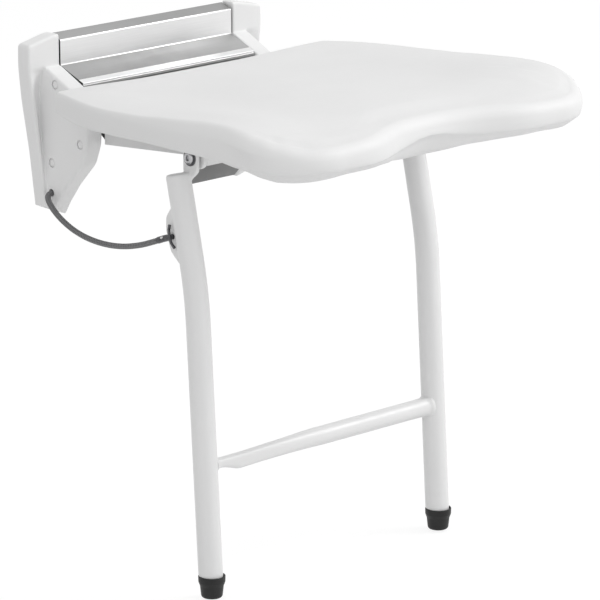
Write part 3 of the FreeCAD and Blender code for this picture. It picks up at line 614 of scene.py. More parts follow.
def seat_outline(grow=0.0):
    right = [(x, y - SEAT_REAR, r) for x, y, r in SEAT]
    left = [(-x, y, r) for x, y, r in right[:-1]]
    return corner_points(left + right[::-1], grow)


def place_seat(piece):
    """From the seat's own frame, rear edge at y = 0 and top at z = 0, to its tilted place."""
    turn = Matrix.Rotation(math.radians(-SEAT_TILT), 4, "X")
    piece.data.transform(Matrix.Translation(Vector((0, SEAT_REAR, SEAT_TOP)) * MM) @ turn)
    return piece


# By the distance in front of the rear edge: the crest of the raised sides and of the middle, the
# softness of the upper edge, the depth of the rim, and how far the rim's side leans in below.
BOLSTER = [(0, 2.6), (40, 3.4), (110, 2.4), (160, 3.2), (210, 6.0), (260, 8.4), (285, 8.2),
           (300, 6.8), (315, 4.2), (335, -0.4), (352, -5.4), (372, -10.6), (400, -12.2)]
MIDDLE = [(0, 0.0), (150, -1.5), (260, -2.5), (330, -8.2), (400, -9.0)]
SOFTNESS = [(0, 4.6), (90, 5.5), (160, 8.0), (210, 12.0), (260, 14.5), (330, 15.0), (400, 13.0)]
LOWER = [(0, 21.6), (60, 23.4), (165, 23.8), (220, 25.4), (275, 28.2), (305, 32.4), (335, 39.6),
         (350, 41.8), (365, 42.6)]
LEAN = [(0, 0.0), (50, 0.6), (120, 3.2), (200, 4.6), (300, 4.4), (350, 4.0), (381, 1.5)]
DISH_FRONT = [(0, 0.0), (300, 0.0), (350, 1.0)]

# By the distance from the middle, along the front: the height of the facet under the rim, how far
# its lower edge is set in, and what the corners add to the rim's depth.
FACET = [(0, 21.3), (16, 19.7), (32, 15.9), (47, 12.4), (62, 9.4), (86, 7.4), (105, 6.9),
         (132, 7.2), (155, 8.3), (175, 9.6), (190, 10.0)]
UNDERCUT = [(0, 14.5), (45, 12.0), (65, 8.0), (90, 9.0), (125, 12.5), (160, 14.5)]
CORNER = [(0, 0.0), (132, 0.0), (160, 1.6), (190, 2.6), (215, 3.2)]
DISH_SIDE = [(0, 0.0), (110, 0.35), (190, 1.0)]

FRONT = 300.0
DISH_FROM, DISH_RUN = 17.0, 46.0
SIDE_FACET, SIDE_UNDERCUT = 2.8, 3.8
ARCH_HALF, ARCH_DEPTH = 56.0, 8.4
HOLLOW_AT, HOLLOW_DEPTH = -306.0, 5.0
ARM_X, ARM_ROOM = 125.25, 24.75


def share_of_side(x):
    return eased(ramp(abs(x), 55.0, 120.0))


def share_of_front(y, length=34.0):
    return ramp(-y, FRONT, length)


def crown(p):
    """Height of the seat's crest: raised sides, a low middle, and a front that rolls down."""
    side = share_of_side(p.x)
    return through(BOLSTER, -p.y) * side + through(MIDDLE, -p.y) * (1 - side)


def dish(p):
    """Height of the sitting surface inside the crest."""
    side, front = through(DISH_SIDE, abs(p.x)), through(DISH_FRONT, -p.y)
    middle = 2.4 * (1 - front) + 8.6 * front
    return crown(p) * side * (1 - 0.25 * front) - middle * (1 - side)


def sitting(p, inside):
    """Height of the top at a distance inside the outline: from the crest down into the dish."""
    t = eased(ramp(inside, DISH_FROM, DISH_RUN))
    return crown(p) * (1 - t) + dish(p) * t


def lower(p):
    """Height of the rim's lowest edge, which falls to the corners and under the front's arch."""
    arch = math.exp(-(abs(p.x) / ARCH_HALF) ** 2.6)
    more = ARCH_DEPTH * arch + through(CORNER, abs(p.x))
    return -through(LOWER, -p.y) - more * share_of_front(p.y, 40.0)


def crisp(p):
    """Height of the crease over the rim's lower facet, tallest in the middle of the front."""
    front = share_of_front(p.y)
    return lower(p) + SIDE_FACET * (1 - front) + through(FACET, abs(p.x)) * front


def hand_hollow(p):
    """Shallow hollows in both sides of the rim, ahead of the legs, fading out to the front."""
    if abs(p.x) <= 190:
        return 0.0
    width = 10.0 if p.y > HOLLOW_AT else 20.0
    return HOLLOW_DEPTH * math.exp(-((p.y - HOLLOW_AT) / width) ** 2)


# Rings of the top inside the crest: their size, and how far their points are evened out.
INNER = [(0.94, 0.12), (0.88, 0.28), (0.81, 0.45), (0.73, 0.62), (0.63, 0.8), (0.52, 0.95),
         (0.4, 1.0), (0.28, 1.0), (0.17, 1.0), (0.08, 1.0)]


def inner_rings(outer):
    """Rings drawn in around the middle of the seat, more and more evenly spaced."""
    centre = Vector((0.0, -190.0))
    whole = 2 * math.pi
    polar = []
    for p in outer:
        angle = math.atan2(p.y - centre.y, p.x - centre.x)
        while polar and angle < polar[-1][0] - math.pi:
            angle += whole
        polar.append((angle, (p - centre).length))
    around = [(a + turns * whole, r) for turns in (-1, 0, 1) for a, r in polar]

    def reach(angle):
        for (a, low), (b, high) in zip(around, around[1:]):
            if a <= angle <= b:
                return low + (high - low) * (angle - a) / max(1e-9, b - a)
        return polar[0][1]

    rings = []
    for size, even in INNER:
        ring = []
        for k, (angle, _) in enumerate(polar):
            turn = angle * (1 - even) + (polar[0][0] + whole * k / len(polar)) * even
            spot = centre + Vector((math.cos(turn), math.sin(turn))) * reach(turn) * size
            height = sitting(spot, 28.0 + 200.0 * (1 - size))
            ring.append(Vector((spot.x, spot.y, height)) * MM)
        rings.append(ring)
    return rings


def seat_top():
    """Moulded seat: soft rim, raised sides, dished top and arched front, hollow below."""
    base = seat_outline()
    count = len(base)
    inward = []
    for i, p in enumerate(base):
        along = (base[(i + 1) % count] - base[i - 1]).normalized()
        inward.append(Vector((-along.y, along.x)))
    loops = []

    def ring(depth_in, height):
        loop = []
        for i, p in enumerate(base):
            spot = p + inward[i] * depth_in(p)
            loop.append(Vector((spot.x, spot.y, height(p))) * MM)
        loops.append(loop)

    def level(grow, height):
        loops.append([Vector((p.x, p.y, height(p))) * MM for p in seat_outline(grow)])

    def soft(p):
        return through(SOFTNESS, -p.y)

    def lean(p):
        return through(LEAN, -p.y) * share_of_side(p.x)

    def step(p):
        """How far in the rim's lowest edge lies."""
        front = share_of_front(p.y)
        return SIDE_UNDERCUT * (1 - front) + through(UNDERCUT, abs(p.x)) * front + lean(p)

    def ceiling(p, thickness=2.3):
        """Of the hollow below: close under the top at the rear, lower and level in front."""
        front = ramp(-p.y, 170.0, 80.0)
        return (dish(p) - thickness) * (1 - front) - 15.0 * front

    # from the hollow's ceiling down the inside of the rim to its lowest edge
    level(-60.0, lambda p: ceiling(p, 6.0))
    level(-46.0, ceiling)
    level(-32.0, ceiling)
    ring(lambda p: step(p) + 3.4, lambda p: ceiling(p, 3.0))
    for inside, above in ((3.2, 2.4), (2.6, 0.5), (1.2, 0.0), (0.0, 0.4)):
        ring(lambda p: step(p) + inside, lambda p: lower(p) + above)
    # up the facet to the crease
    for share in (0.34, 0.68):
        ring(lambda p: step(p) * (1 - share) + (1.7 + lean(p)) * share,
             lambda p: lower(p) * (1 - share) + (crisp(p) - 0.7) * share)
    for inside, above in ((1.8, -0.5), (0.9, -0.1), (0.2, 0.6)):
        ring(lambda p: inside + lean(p), lambda p: crisp(p) + above)
    # up the side and over the soft edge
    for share in (0.12, 0.3, 0.5, 0.7, 0.88):
        bulge = math.sin(math.pi * share)
        ring(lambda p: lean(p) * (1 - share) ** 1.4 + (hand_hollow(p) - 0.4) * bulge,
             lambda p: crisp(p) * (1 - share) + (crown(p) - soft(p)) * share)
    steps = 12
    for k in range(steps + 1):
        a = math.pi / 2 * k / steps
        ring(lambda p: soft(p) * (1 - math.cos(a)),
             lambda p: crown(p) - soft(p) * (1 - math.sin(a)))
    # down into the dish
    for grow in (-21.0, -25.0, -29.0):
        level(grow, lambda p: sitting(p, -grow))
    loops += inner_rings(seat_outline(-29.0))
    piece = loft("seat_top", loops)
    # room for the arms at the rear edge
    for side in (LEFT, RIGHT):
        middle = side * ARM_X
        tool = block_of((middle - ARM_ROOM, -19.0, -77.6), (middle + ARM_ROOM, 15.0, -15.6))
        bevel_where(tool, lambda p: True, 3.0, 3)
        cut_with(piece, tool)
    place_seat(piece)
    smooth(piece, 42)
    return finish_piece(piece, "seat", SEAT_WHITE, "seat_white", "seat_shell")


seat_top()


# legs: the middle line from the top over the bend to the floor, as (y, z)
LEG_X, TUBE = 163.3, 12.5
LEG = [(-240.5, -8.0), (-267.0, -126.0), (-286.7, -440.0)]
BEND, IN_FOOT, TOP_ROUNDING = 420.0, 21.8, 2.6


def leg_path():
    """Points down the middle of a leg in side view: two straight runs and a gentle bend."""
    top, knee, foot = (Vector(p) for p in LEG)
    upper, lower = (knee - top).normalized(), (foot - knee).normalized()
    reach = BEND * math.tan(upper.angle(lower) / 2)
    bend_start, bend_end = knee - upper * reach, knee + lower * reach
    last = foot - lower * IN_FOOT
    points = [top.lerp(bend_start, k / 12) for k in range(13)]
    for k in range(1, 10):
        t = k / 10
        points.append(bend_start.lerp(knee, t).lerp(knee.lerp(bend_end, t), t))
    return points + [bend_end.lerp(last, k / 30) for k in range(31)]


def ring_at(x, middle, along, radius, count=48):
    across = Vector((-along.y, along.x))
    ring = []
    for c, s in circle(count):
        spot = middle + across * (radius * s)
        ring.append(Vector((x + radius * c, spot.x, spot.y)) * MM)
    return ring


def leg_tube(name, x):
    """Bent tube with its closed, softly rounded top."""
    path = leg_path()
    first = (path[1] - path[0]).normalized()
    loops = []
    for k in range(6):
        a = math.pi / 2 * k / 5
        down, inward = TOP_ROUNDING * (1 - math.cos(a)), TOP_ROUNDING * (1 - math.sin(a))
        loops.append(ring_at(x, path[0] + first * down, first, TUBE - inward))
    for i, p in enumerate(path[1:-1], 1):
        loops.append(ring_at(x, p, (path[i + 1] - path[i - 1]).normalized(), TUBE))
    loops.append(ring_at(x, path[-1], (path[-1] - path[-2]).normalized(), TUBE))
    return loft(name, loops)


# side views of the pivot ear and of the cord's lug
EAR = [(-242, 20, 9), (-261, 20, 9), (-261, -5, 8), (-253, -12, 5), (-249.5, -15, 3),
       (-249, -40, 3), (-242, -40, 3), (-242, -6)]
LUG = [(-244, -39), (-252, -39), (-256, -116), (-246.5, -101.5, 12), (-231.5, -89, 14),
       (-224.5, -67, 12), (-224.5, -55, 12), (-233, -42.5, 6)]
LUG_HOLE = (-234.5, -73.1)


def leg(name, side, *nodes):
    """Tube with its pivot ear, and on the left the cord's lug, welded and coated as one."""
    parts = [leg_tube(name, side * LEG_X)]
    inner, outer = sorted((side * 152.5, side * 157.5))
    parts.append(slab("ear", EAR, "X", inner, outer))
    if side == LEFT:
        plate = slab("lug", LUG, "X", -165.9, -160.7)
        cut_with(plate, rod("hole", (-180, *LUG_HOLE), (-150, *LUG_HOLE), 2.6, rounding=0))
        parts.append(plate)
    piece = fuse(name, parts)
    melt(piece, 0.85, 5)
    return finish_piece(piece, "leg_frame", LEG_WHITE, "leg_white", *nodes)


leg("left_leg", LEFT, "leg_left", "leg_ear_left", "cord_lug")
leg("right_leg", RIGHT, "leg_right", "leg_ear_right")


ACROSS = {LEFT: "-X", RIGHT: "X"}


def turned(name, profile, x, y, z, axis="Z", count=48):
    """A turned part from (radius, height) points, standing at a place."""
    loops = []
    for radius, height in profile:
        ring = []
        for c, s in circle(count):
            u, v = radius * c, radius * s
            spot = {"Z": (u, v, height), "X": (height, u, v), "-X": (-height, u, v)}[axis]
            ring.append(Vector((x + spot[0], y + spot[1], z + spot[2])) * MM)
        loops.append(ring)
    return loft(name, loops)


def arc_profile(points):
    """Rounds the (radius, height, rounding) corners of a turned profile."""
    result = []
    for i, corner in enumerate(points):
        here = Vector(corner[:2])
        if len(corner) < 3 or i in (0, len(points) - 1):
            result.append(here)
            continue
        a = (Vector(points[i - 1][:2]) - here).normalized()
        b = (Vector(points[i + 1][:2]) - here).normalized()
        half = (math.pi - a.angle(b)) / 2
        start, end = here + a * corner[2] * math.tan(half), here + b * corner[2] * math.tan(half)
        for k in range(7):
            t = k / 6
            result.append(start.lerp(here, t).lerp(here.lerp(end, t), t))
    return result


FOOT = [(0.3, 0.6), (6.0, 0.6), (10.8, 2.2, 3.4), (12.1, 14.0, 6.0), (13.7, 18.2, 1.6),
        (13.9, 24.6, 0.9), (12.62, 24.5, 0.3), (12.6, 21.6), (0.3, 21.6)]
for side, node in ((LEFT, "foot_left"), (RIGHT, "foot_right")):
    foot = turned("rubber_" + node, arc_profile(FOOT), side * LEG_X, *LEG[-1])
    smooth(foot, 40)
    finish_piece(foot, "leg_frame", RUBBER, "foot_black", node)


# sections of the crossbar: x, z, half height, half depth, squareness
CROSSBAR_Y = -278.2
CROSSBAR = [
    (157.0, -303.9, 12.6, 12.6, 2.0), (153.2, -303.9, 12.4, 12.4, 2.0),
    (151.0, -303.9, 11.4, 11.4, 2.0), (149.4, -303.9, 10.3, 10.3, 2.0),
    (147.0, -303.9, 9.8, 9.8, 2.0), (80.0, -303.9, 9.8, 9.8, 2.0), (12.0, -303.9, 9.8, 9.8, 2.0),
    (0.0, -303.8, 9.8, 9.7, 2.0), (-12.0, -303.7, 9.6, 9.5, 2.1), (-24.0, -303.7, 9.2, 9.0, 2.2),
    (-38.0, -303.9, 8.7, 8.2, 2.4), (-54.0, -304.3, 8.3, 7.4, 2.8), (-72.0, -304.7, 7.9, 6.6, 3.2),
    (-90.0, -305.1, 7.7, 6.1, 3.6), (-108.0, -305.7, 7.7, 5.8, 3.8),
    (-119.0, -306.1, 7.8, 5.7, 3.8), (-123.5, -305.8, 7.5, 5.7, 3.6),
    (-131.0, -304.5, 6.3, 5.6, 3.2), (-140.0, -303.3, 5.1, 5.5, 2.8),
    (-146.5, -302.9, 4.9, 5.7, 2.6), (-149.6, -302.9, 5.8, 6.6, 2.4),
    (-151.4, -302.9, 7.6, 8.4, 2.3), (-155.0, -302.9, 8.6, 9.2, 2.2),
]


def crossbar(count=56):
    """Round tube, pressed flatter towards the left leg, with its welds drawn out at the ends."""
    loops = []
    for x, z, tall, deep, power in CROSSBAR:
        ring = []
        for c, s in circle(count):
            y = CROSSBAR_Y + deep * math.copysign(abs(c) ** (2 / power), c)
            ring.append(Vector((x, y, z + tall * math.copysign(abs(s) ** (2 / power), s))) * MM)
        loops.append(ring)
    piece = loft("flattened_crossbar", loops)
    modify(piece, "SUBSURF", levels=1, render_levels=1)
    smooth(piece, 60)
    return finish_piece(piece, "leg_frame", LEG_WHITE, "leg_white", "crossbar")


crossbar()


# pivot bolts: profiles as (radius, distance from the middle of the seat)
PIVOT = (-252, 9)
WASHER = [(0.3, 157.55), (7.9, 157.55), (8.4, 157.8, 0.2), (8.4, 158.5, 0.3), (8.0, 158.8, 0.3),
          (0.3, 158.8)]
BOLT_HEAD = [(0.3, 158.7), (6.0, 158.7), (6.3, 159.0, 0.3), (6.2, 160.2, 0.8), (4.6, 161.2, 1.6),
             (3.1, 161.3), (2.7, 160.9), (2.6, 159.2), (0.3, 159.0)]
SHANK, NUT = (138.2, 157.6), 141.9


def pivot_parts():
    """Domed socket-head bolts with washers and inner nuts."""
    washers, bolts, nuts = [], [], []
    for side in (LEFT, RIGHT):
        way = ACROSS[side]
        washers.append(turned("washer", arc_profile(WASHER), 0, *PIVOT, way))
        bolts.append(turned("bolt", arc_profile(BOLT_HEAD), 0, *PIVOT, way))
        bolts.append(rod("shank", *((side * end, *PIVOT) for end in SHANK), 3.9))
        deselect()
        bpy.ops.mesh.primitive_cylinder_add(vertices=6, radius=6.5 * MM, depth=5.8 * MM)
        nut = bpy.context.object
        bevel_where(nut, lambda p: True, 0.7, 3, 40)
        turn = Matrix.Rotation(math.pi / 2, 4, "Y")
        nut.data.transform(Matrix.Translation(Vector((side * NUT, *PIVOT)) * MM) @ turn)
        nuts.append(nut)
    for name, parts, finish, node in (
        ("pivot_washers", washers, BOLT_DARK, "leg_washers"),
        ("pivot_bolts", bolts, ZINC, "leg_bolts"),
        ("pivot_nuts", nuts, ZINC, "leg_nuts"),
    ):
        piece = fuse(name, parts)
        smooth(piece, 40)
        finish_piece(piece, "seat", finish, "bolt_steel", node)


pivot_parts()


# the cord's fastening on the left leg
def curved(points, parts=5):
    """A smooth line through all of the points."""
    fine = []
    for i in range(len(points) - 1):
        a, b = points[i], points[i + 1]
        before, after = points[max(0, i - 1)], points[min(len(points) - 1, i + 2)]
        for k in range(parts):
            t = k / parts
            fine.append(0.5 * (2 * a + (b - before) * t
                               + (2 * before - 5 * a + 4 * b - after) * t * t
                               + (3 * a - before - 3 * b + after) * t ** 3))
    return fine + [points[-1]]


def swept(name, points, radius, count=20):
    """A bent wire through points, its ends rounded off."""
    fine = curved([Vector(p) for p in points])
    last = len(fine) - 1
    loops = []
    for i, p in enumerate(fine):
        along = (fine[min(i + 1, last)] - fine[max(i - 1, 0)]).normalized()
        side = along.cross(Vector((1, 0, 0))).normalized()
        other = along.cross(side)
        shares = {0: [0.55, 0.85, 1.0], last: [1.0, 0.85, 0.55]}.get(i, [1.0])
        for share in shares:
            middle = p + along * radius * 0.5 * (1 - share) * (1 if i else -1)
            loops.append([(middle + (side * c + other * s) * radius * share) * MM
                          for c, s in circle(count)])
    return loft(name, loops)


TOGGLE = [(-168.2, -232.9, -61.0), (-170.2, -234.0, -65.5), (-171.3, -235.9, -70.5),
          (-171.0, -238.0, -77.5), (-168.6, -240.6, -83.5)]
SLEEVE = [(-162.7, -210.2, -81.7), (-163.0, -213.0, -80.6), (-163.3, -220.0, -78.0),
          (-163.6, -228.0, -75.4), (-164.0, -233.0, -73.9)]
# the white oval on the cord's sleeve, a painted highlight: its middle and half sizes
HIGHLIGHT_AT, HIGHLIGHT_HALF = (-165.6, -218.8, -77.0), (2.7, 1.7, 1.3)


def cord_end():
    """Curved toggle bar and its pin through the lug, the sleeve on the cord's end, and a white
    oval on the sleeve that is a painted highlight.
    """
    bar = swept("bar", TOGGLE, 1.5)
    pin = rod("pin", (-171.2, -235.2, -72.6), (-159.8, *LUG_HOLE), 2.3, 24)
    piece = fuse("toggle_bar", [bar, pin])
    smooth(piece, 45)
    finish_piece(piece, "leg_frame", BOLT_DARK, "bolt_steel", "cord_toggle")
    sleeve = smooth(swept("sleeve", SLEEVE, 3.5, 28), 45)
    finish_piece(sleeve, "leg_frame", BOLT_DARK, "bolt_steel", "cord_sleeve")
    # painted highlight: a small white oval laid on the dark sleeve
    deselect()
    bpy.ops.mesh.primitive_uv_sphere_add(segments=24, ring_count=12, radius=MM)
    highlight_spot = bpy.context.object
    highlight_spot.name = highlight_spot.data.name = "sleeve_painted_highlight"
    lean = Vector((0.0, -0.94, 0.35)).to_track_quat("X", "Z").to_matrix().to_4x4()
    place = Matrix.Translation(Vector(HIGHLIGHT_AT) * MM)
    highlight_spot.data.transform(place @ lean @ Matrix.Diagonal((*HIGHLIGHT_HALF, 1)))
    finish_piece(smooth(highlight_spot, 60), "leg_frame", LEG_WHITE, "bolt_steel")


cord_end()


# end covers, drawn for the right side: the wall block as (x, z), the gusset as (y, z), the block's
# inside as (x, z), the plugs as (y, z) and the valley as (z, depth beside the gusset, ridge x)
BLOCK = [(122.3, -92), (134, -92, 3), (143.6, -88, 5), (151, -27, 260), (160.6, 30, 260),
         (164.3, 66, 120), (164, 87.2, 4.5), (130, 94.6, 24), (122.3, 94.6)]
GUSSET = [(-2, -89), (-2, 61.6), (-18.6, 61.6, 6), (-57, 43.4, 30), (-76, 39, 12),
          (-93.2, 38.8, 10.5), (-93.2, 20, 12), (-80.4, 6, 16), (-79.4, -12, 34), (-71.4, -33, 24),
          (-46, -60, 60), (-31, -80, 40), (-20.5, -97, 5), (-12, -93.5, 6)]
HOLLOW = [(120.2, -88.6), (133, -88.6, 2), (140.4, -84.6, 3), (148, -27, 257), (157.6, 30, 257),
          (161.2, 66, 117), (161, 84.6, 2), (130, 91.2, 20), (124.8, 91.2), (124.8, 58.4),
          (120.2, 58.4)]
PLUGS = [(-31.5, 46.4), (-69.2, -10.4), (-25.0, -36.6)]
SCOOP = [(63.0, 0.2, 160.8), (60.5, 1.6, 160.6), (57.0, 4.6, 160.2), (52.0, 6.6, 159.4),
         (45.6, 7.9, 158.2), (32.0, 9.2, 156.2), (17.3, 9.8, 153.8), (6.0, 9.8, 152.3),
         (-3.5, 9.4, 151.2), (-14.0, 8.1, 150.2), (-24.8, 6.3, 148.8), (-35.0, 4.6, 147.6),
         (-45.0, 3.0, 146.4), (-54.0, 1.4, 145.2), (-62.0, 0.1, 144.2)]
GUSSET_IN, GUSSET_OUT, COVER_DEPTH = 121.0, 142.2, 16.4
WALL, SIDE_WALL = 3.6, 3.2
LOW_END_AT, LOW_END_WAY = (0.126, 0, -0.0925), (0.393, 0, -0.92)


def scoop_tool():
    """Removes the triangular valley between the block's front ridge and the gusset's side."""
    loops = []
    front, inner, over = -COVER_DEPTH, GUSSET_OUT - 0.6, -COVER_DEPTH - 2.5
    for z, deep, ridge in SCOOP:
        loops.append([Vector((x, y, z)) * MM for x, y in (
            (inner, front + deep),
            (GUSSET_OUT + 0.6, front + deep),
            ((GUSSET_OUT + ridge) / 2 + 0.8, front + deep * 0.56),
            (ridge, front + 0.05),
            (ridge + 1.5, over),
            (inner, over),
        )])
    return loft("valley", loops)


def mirrored(piece):
    piece.data.transform(Matrix.Diagonal((-1, 1, 1, 1)))
    edit_all(piece)
    bpy.ops.mesh.flip_normals()
    return done(piece)


def cover(name, side, node):
    """Moulded end cover: wall block, stepped gusset and the valley between them, hollow behind."""
    block = slab("block", BLOCK, "Y", 1.5, -COVER_DEPTH)
    bevel_where(block, lambda p: p.y < -16 and p.x > 123, 2.6, 4)
    cut_with(block, scoop_tool())
    # both start a little behind the wall's plane, and are trimmed there together
    outline = [(1.5 if y == -2 else y, *rest) for y, *rest in GUSSET]
    gusset = slab("gusset", outline, "X", GUSSET_IN, GUSSET_OUT)
    bevel_where(gusset, lambda p: p.y < -4 and p.x > 140, 2.8, 5)
    bevel_where(gusset, lambda p: p.y < -4 and p.x < 123, 1.6, 3)
    for part in (block, gusset):
        edit_all(part)
        bpy.ops.mesh.bisect(plane_co=LOW_END_AT, plane_no=LOW_END_WAY,
                            use_fill=True, clear_outer=True)
        done(part)
    piece = fuse(name, [block, gusset])
    melt(piece, 0.75, 9)
    cut_with(piece, block_of((40.0, 0.1, -200.0), (240.0, 20.1, 200.0)))
    cut_with(piece, slab("hollow", HOLLOW, "Y", 3, -4.6))
    behind = corner_points(anticlockwise(GUSSET), -WALL)
    ends = [[Vector((x, p.x if p.x < -6 else 3.0, p.y)) * MM for p in behind]
            for x in (GUSSET_IN - 2.0, GUSSET_OUT - SIDE_WALL)]
    cut_with(piece, loft("gusset_hollow", ends))
    for y, z in PLUGS:
        well = rod("well", (GUSSET_OUT - 2.0, y, z), (GUSSET_OUT + 4, y, z), 4.9, 40, rounding=0)
        cut_with(piece, well)
    if side == LEFT:
        hole = rod("cord_hole", (134, *CORD[0][1:]), (148, *CORD[0][1:]), 4.0, 40, rounding=0)
        cut_with(piece, hole)
        mirrored(piece)
    smooth(piece, 40)
    return finish_piece(piece, "wall_bracket", COVER_WHITE, "cover_white", node)


cover("left_cover", LEFT, "end_cover_left")
cover("right_cover", RIGHT, "end_cover_right")


# a plug's dome, as (radius, height over the gusset's side)
DOME = [(0.3, -3.2), (4.0, -3.2), (4.1, -0.9, 0.8), (3.2, -0.2, 1.6), (1.6, 0.1, 1.2), (0.3, 0.15)]


def plugs(side, node):
    profile = arc_profile([(radius, GUSSET_OUT + height, *rest) for radius, height, *rest in DOME])
    domes = [turned("dome", profile, 0, y, z, ACROSS[side], 32) for y, z in PLUGS]
    piece = fuse("domed_" + node, domes)
    smooth(piece, 50)
    return finish_piece(piece, "wall_bracket", PLUG_WHITE, "cover_white", node)


plugs(LEFT, "screw_plugs_left")
plugs(RIGHT, "screw_plugs_right")


# rails: sections as (y, z)
WALL_RAIL = [(0, 22), (0, 93.4, 0.8), (-15.6, 88.1, 2.2), (-15.7, 61.4, 1.6), (-43.8, 50.4, 3),
             (-50.4, 47.9, 0.9), (-51.2, 47.0, 0.4), (-50.0, 46.6), (-50.0, 45.8),
             (-51.2, 45.5, 0.3), (-51.2, 42.6, 0.6), (-48, 42.6, 0.8), (-47.6, 45.2, 1.0),
             (-18.6, 57.4, 2), (-3, 57.4, 2), (-3, 22)]
RAIL_VOID = [(-2.4, 60), (-13.3, 60, 1), (-13.3, 86.4, 1), (-2.4, 90.1, 1)]
HINGE_RAIL = [(-3.3, 36.2), (-3.3, 39.2), (-49.8, 39.2, 0.8), (-49.8, 32.4, 0.8),
              (-47.2, 32.4, 0.8), (-47.2, 36.2, 1.6)]
NOSE_BACK, NOSE_LOW = -44.5, 45.2


def rail(name, corners, half, node, finishes, void=None):
    """Extruded profile with its finish, or with those of its front, slopes, ends and low nose
    face; the slopes, ends and nose face get darker copies of the aluminium as painted shade.
    """
    piece = slab(name, corners, "X", -half, half, pitch=400)
    if void:
        cut_with(piece, slab("void", void, "X", -half - 2, half + 2))
    bevel_where(piece, lambda p: abs(p.x) > half - 0.5, 0.35, 2, 50)
    smooth(piece, 25)
    finish_piece(piece, "wall_bracket", finishes[0], "rail_aluminium", node)
    for finish in finishes[1:]:
        piece.data.materials.append(finish)
    for face in piece.data.polygons if len(finishes) > 1 else ():
        middle = face.center / MM
        # painted shade: faces that look upwards take the darker slope aluminium
        if face.normal.z > 0.8 and middle.y > NOSE_BACK:
            face.material_index = 1
        # painted shade: the low nose face takes a grey
        if middle.z < NOSE_LOW and face.normal.y < -0.5:
            face.material_index = 3
        # painted shade: the cut ends take a near-black aluminium
        if abs(face.normal.x) > 0.8:
            face.material_index = 2
    return piece


rail("upper_rail", WALL_RAIL, 120.4, "wall_rail",
     [RAIL_ALUMINIUM, SHADED_SLOPE_ALUMINIUM, END_PAINTED_SHADE, NOSE_PAINTED_SHADE], RAIL_VOID)
rail("lower_rail", HINGE_RAIL, 105.0, "hinge_rail", [STRIP_ALUMINIUM])


# steel parts under the seat
def leg_bracket(side, node):
    """Pivot plate with its folded front flange, trimmed behind and below."""
    piece = copied(node, "pressed_" + node)
    near, far = sorted((side * 144.9, side * 156.0))
    cut_with(piece, block_of((near, -234, -40), (far, -200, 43)))
    cut_with(piece, block_of((near, -290, -40), (far, -200, -8)))
    softened(piece, 0.5)
    return finish_piece(piece, "seat", LEG_WHITE, "leg_white", node)


leg_bracket(LEFT, "leg_bracket_left")
leg_bracket(RIGHT, "leg_bracket_right")
beam = copied("cross_beam", "pressed_beam")
for side in (LEFT, RIGHT):
    near, far = sorted((side * 118.0, side * 150.0))
    cut_with(beam, block_of((near, -232, -40), (far, -205, 10)))
finish_piece(softened(beam, 0.6), "seat", BEAM_GREY, "beam_grey", "cross_beam")


# the solid's closing plate in the seat's own frame: its depth at the rear edge, how that grows
# to the front, its thickness with some play, and what stays between it and the rim's lower edge
PLATE_DEPTH, PLATE_SLOPE, PLATE_THICK, PLATE_PLAY, PLATE_GAP = 21.0, 0.0524, 3.4, 0.4, 1.2


def raised(node, name, finish, slot, whole):
    """The closing plate and its screws follow the thin rim instead of its deepest line."""
    piece = copied(node, name)
    turn = math.radians(SEAT_TILT)
    for vertex in piece.data.vertices:
        y, z = vertex.co.y / MM - SEAT_REAR, vertex.co.z / MM - SEAT_TOP
        along = y * math.cos(turn) - z * math.sin(turn)
        height = y * math.sin(turn) + z * math.cos(turn)
        depth = PLATE_DEPTH - PLATE_SLOPE * along
        if whole or -depth - PLATE_PLAY < height < PLATE_THICK - depth:
            vertex.co.z += max(0.0, depth - through(LOWER, -along) + PLATE_GAP) * MM
    smooth(piece, 30)
    return finish_piece(piece, "seat", finish, slot, node)


raised("seat_underside", "closing_plate", PAN_WHITE, "seat_white", False)
raised("underside_screws", "plate_screws", ZINC, "bolt_steel", True)


# studio
def plain(kind, tone, **more):
    """A shader of one grey, made in the tree that it is called with."""
    return lambda tree: add(tree, kind, Color=(*grey(tone), 1), **more).outputs[0]


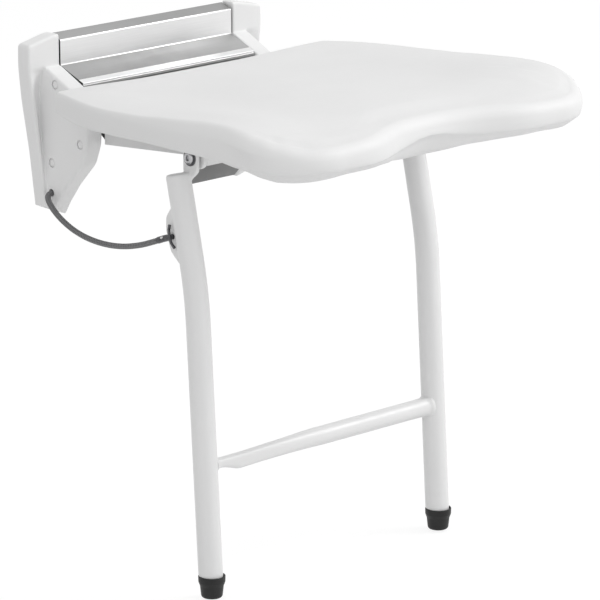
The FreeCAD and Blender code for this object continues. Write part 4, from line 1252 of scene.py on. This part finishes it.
def split_by_ray(owner, output, rays, others, seen):
    """Shows one shader to the rays that see the background and the other to the rest."""
    owner.use_nodes = True
    tree = owner.node_tree
    tree.nodes.clear()
    path = add(tree, "ShaderNodeLightPath").outputs
    seeing = path[rays[0]]
    for ray in rays[1:]:
        greatest = add(tree, "ShaderNodeMath", [(seeing, 0), (path[ray], 1)],
                       operation="MAXIMUM")
        seeing = greatest.outputs[0]
    mix = add(tree, "ShaderNodeMixShader",
              [(seeing, "Fac"), (others(tree), 1), (seen(tree), 2)])
    add(tree, output, [(mix.outputs[0], "Surface")])


def pale_floor(tree):
    """Nearly white, with the contact shadows kept."""
    glow = plain("ShaderNodeEmission", 1, Strength=0.86)(tree)
    dim = plain("ShaderNodeBsdfDiffuse", 0.2)(tree)
    return add(tree, "ShaderNodeAddShader", [(glow, 0), (dim, 1)]).outputs[0]


SEEING = ["Is Camera Ray", "Is Glossy Ray", "Is Transmission Ray"]
deselect()
bpy.ops.mesh.primitive_plane_add(size=24, location=(0, 0, FLOOR - 0.0003))
floor = bpy.context.object
floor.name = "floor"
floor.data.materials.append(bpy.data.materials.new("pale_floor"))
split_by_ray(floor.data.materials[0], "ShaderNodeOutputMaterial", SEEING[:2],
             plain("ShaderNodeBsdfDiffuse", 0.8), pale_floor)

# white where it is seen, dimmer where it lights the object
world = bpy.data.worlds.new("studio")
bpy.context.scene.world = world
split_by_ray(world, "ShaderNodeOutputWorld", SEEING,
             plain("ShaderNodeBackground", 1, Strength=0.56),
             plain("ShaderNodeBackground", 1, Strength=1.0))

CENTRE = (0, -0.22, -0.1)


def lamp(name, place, size, power):
    """A square lamp that looks at the seat."""
    data = bpy.data.lights.new(name, "AREA")
    data.shape, data.size, data.energy = "SQUARE", size, power
    light = bpy.data.objects.new(name, data)
    bpy.context.scene.collection.objects.link(light)
    light.location = place
    light.rotation_mode = "QUATERNION"
    light.rotation_quaternion = (Vector(CENTRE) - Vector(place)).to_track_quat("-Z", "Y")


lamp("key_light", (2.5, -1.9, 2.1), 1.6, 52)
lamp("top_light", (-0.4, -0.8, 3.0), 2.4, 11)
lamp("side_light", (-2.3, -1.2, 1.0), 1.8, 8)
lamp("front_light", (0.5, -3.2, 0.5), 2.0, 9)
bpy.context.scene.view_settings.view_transform = "Standard"
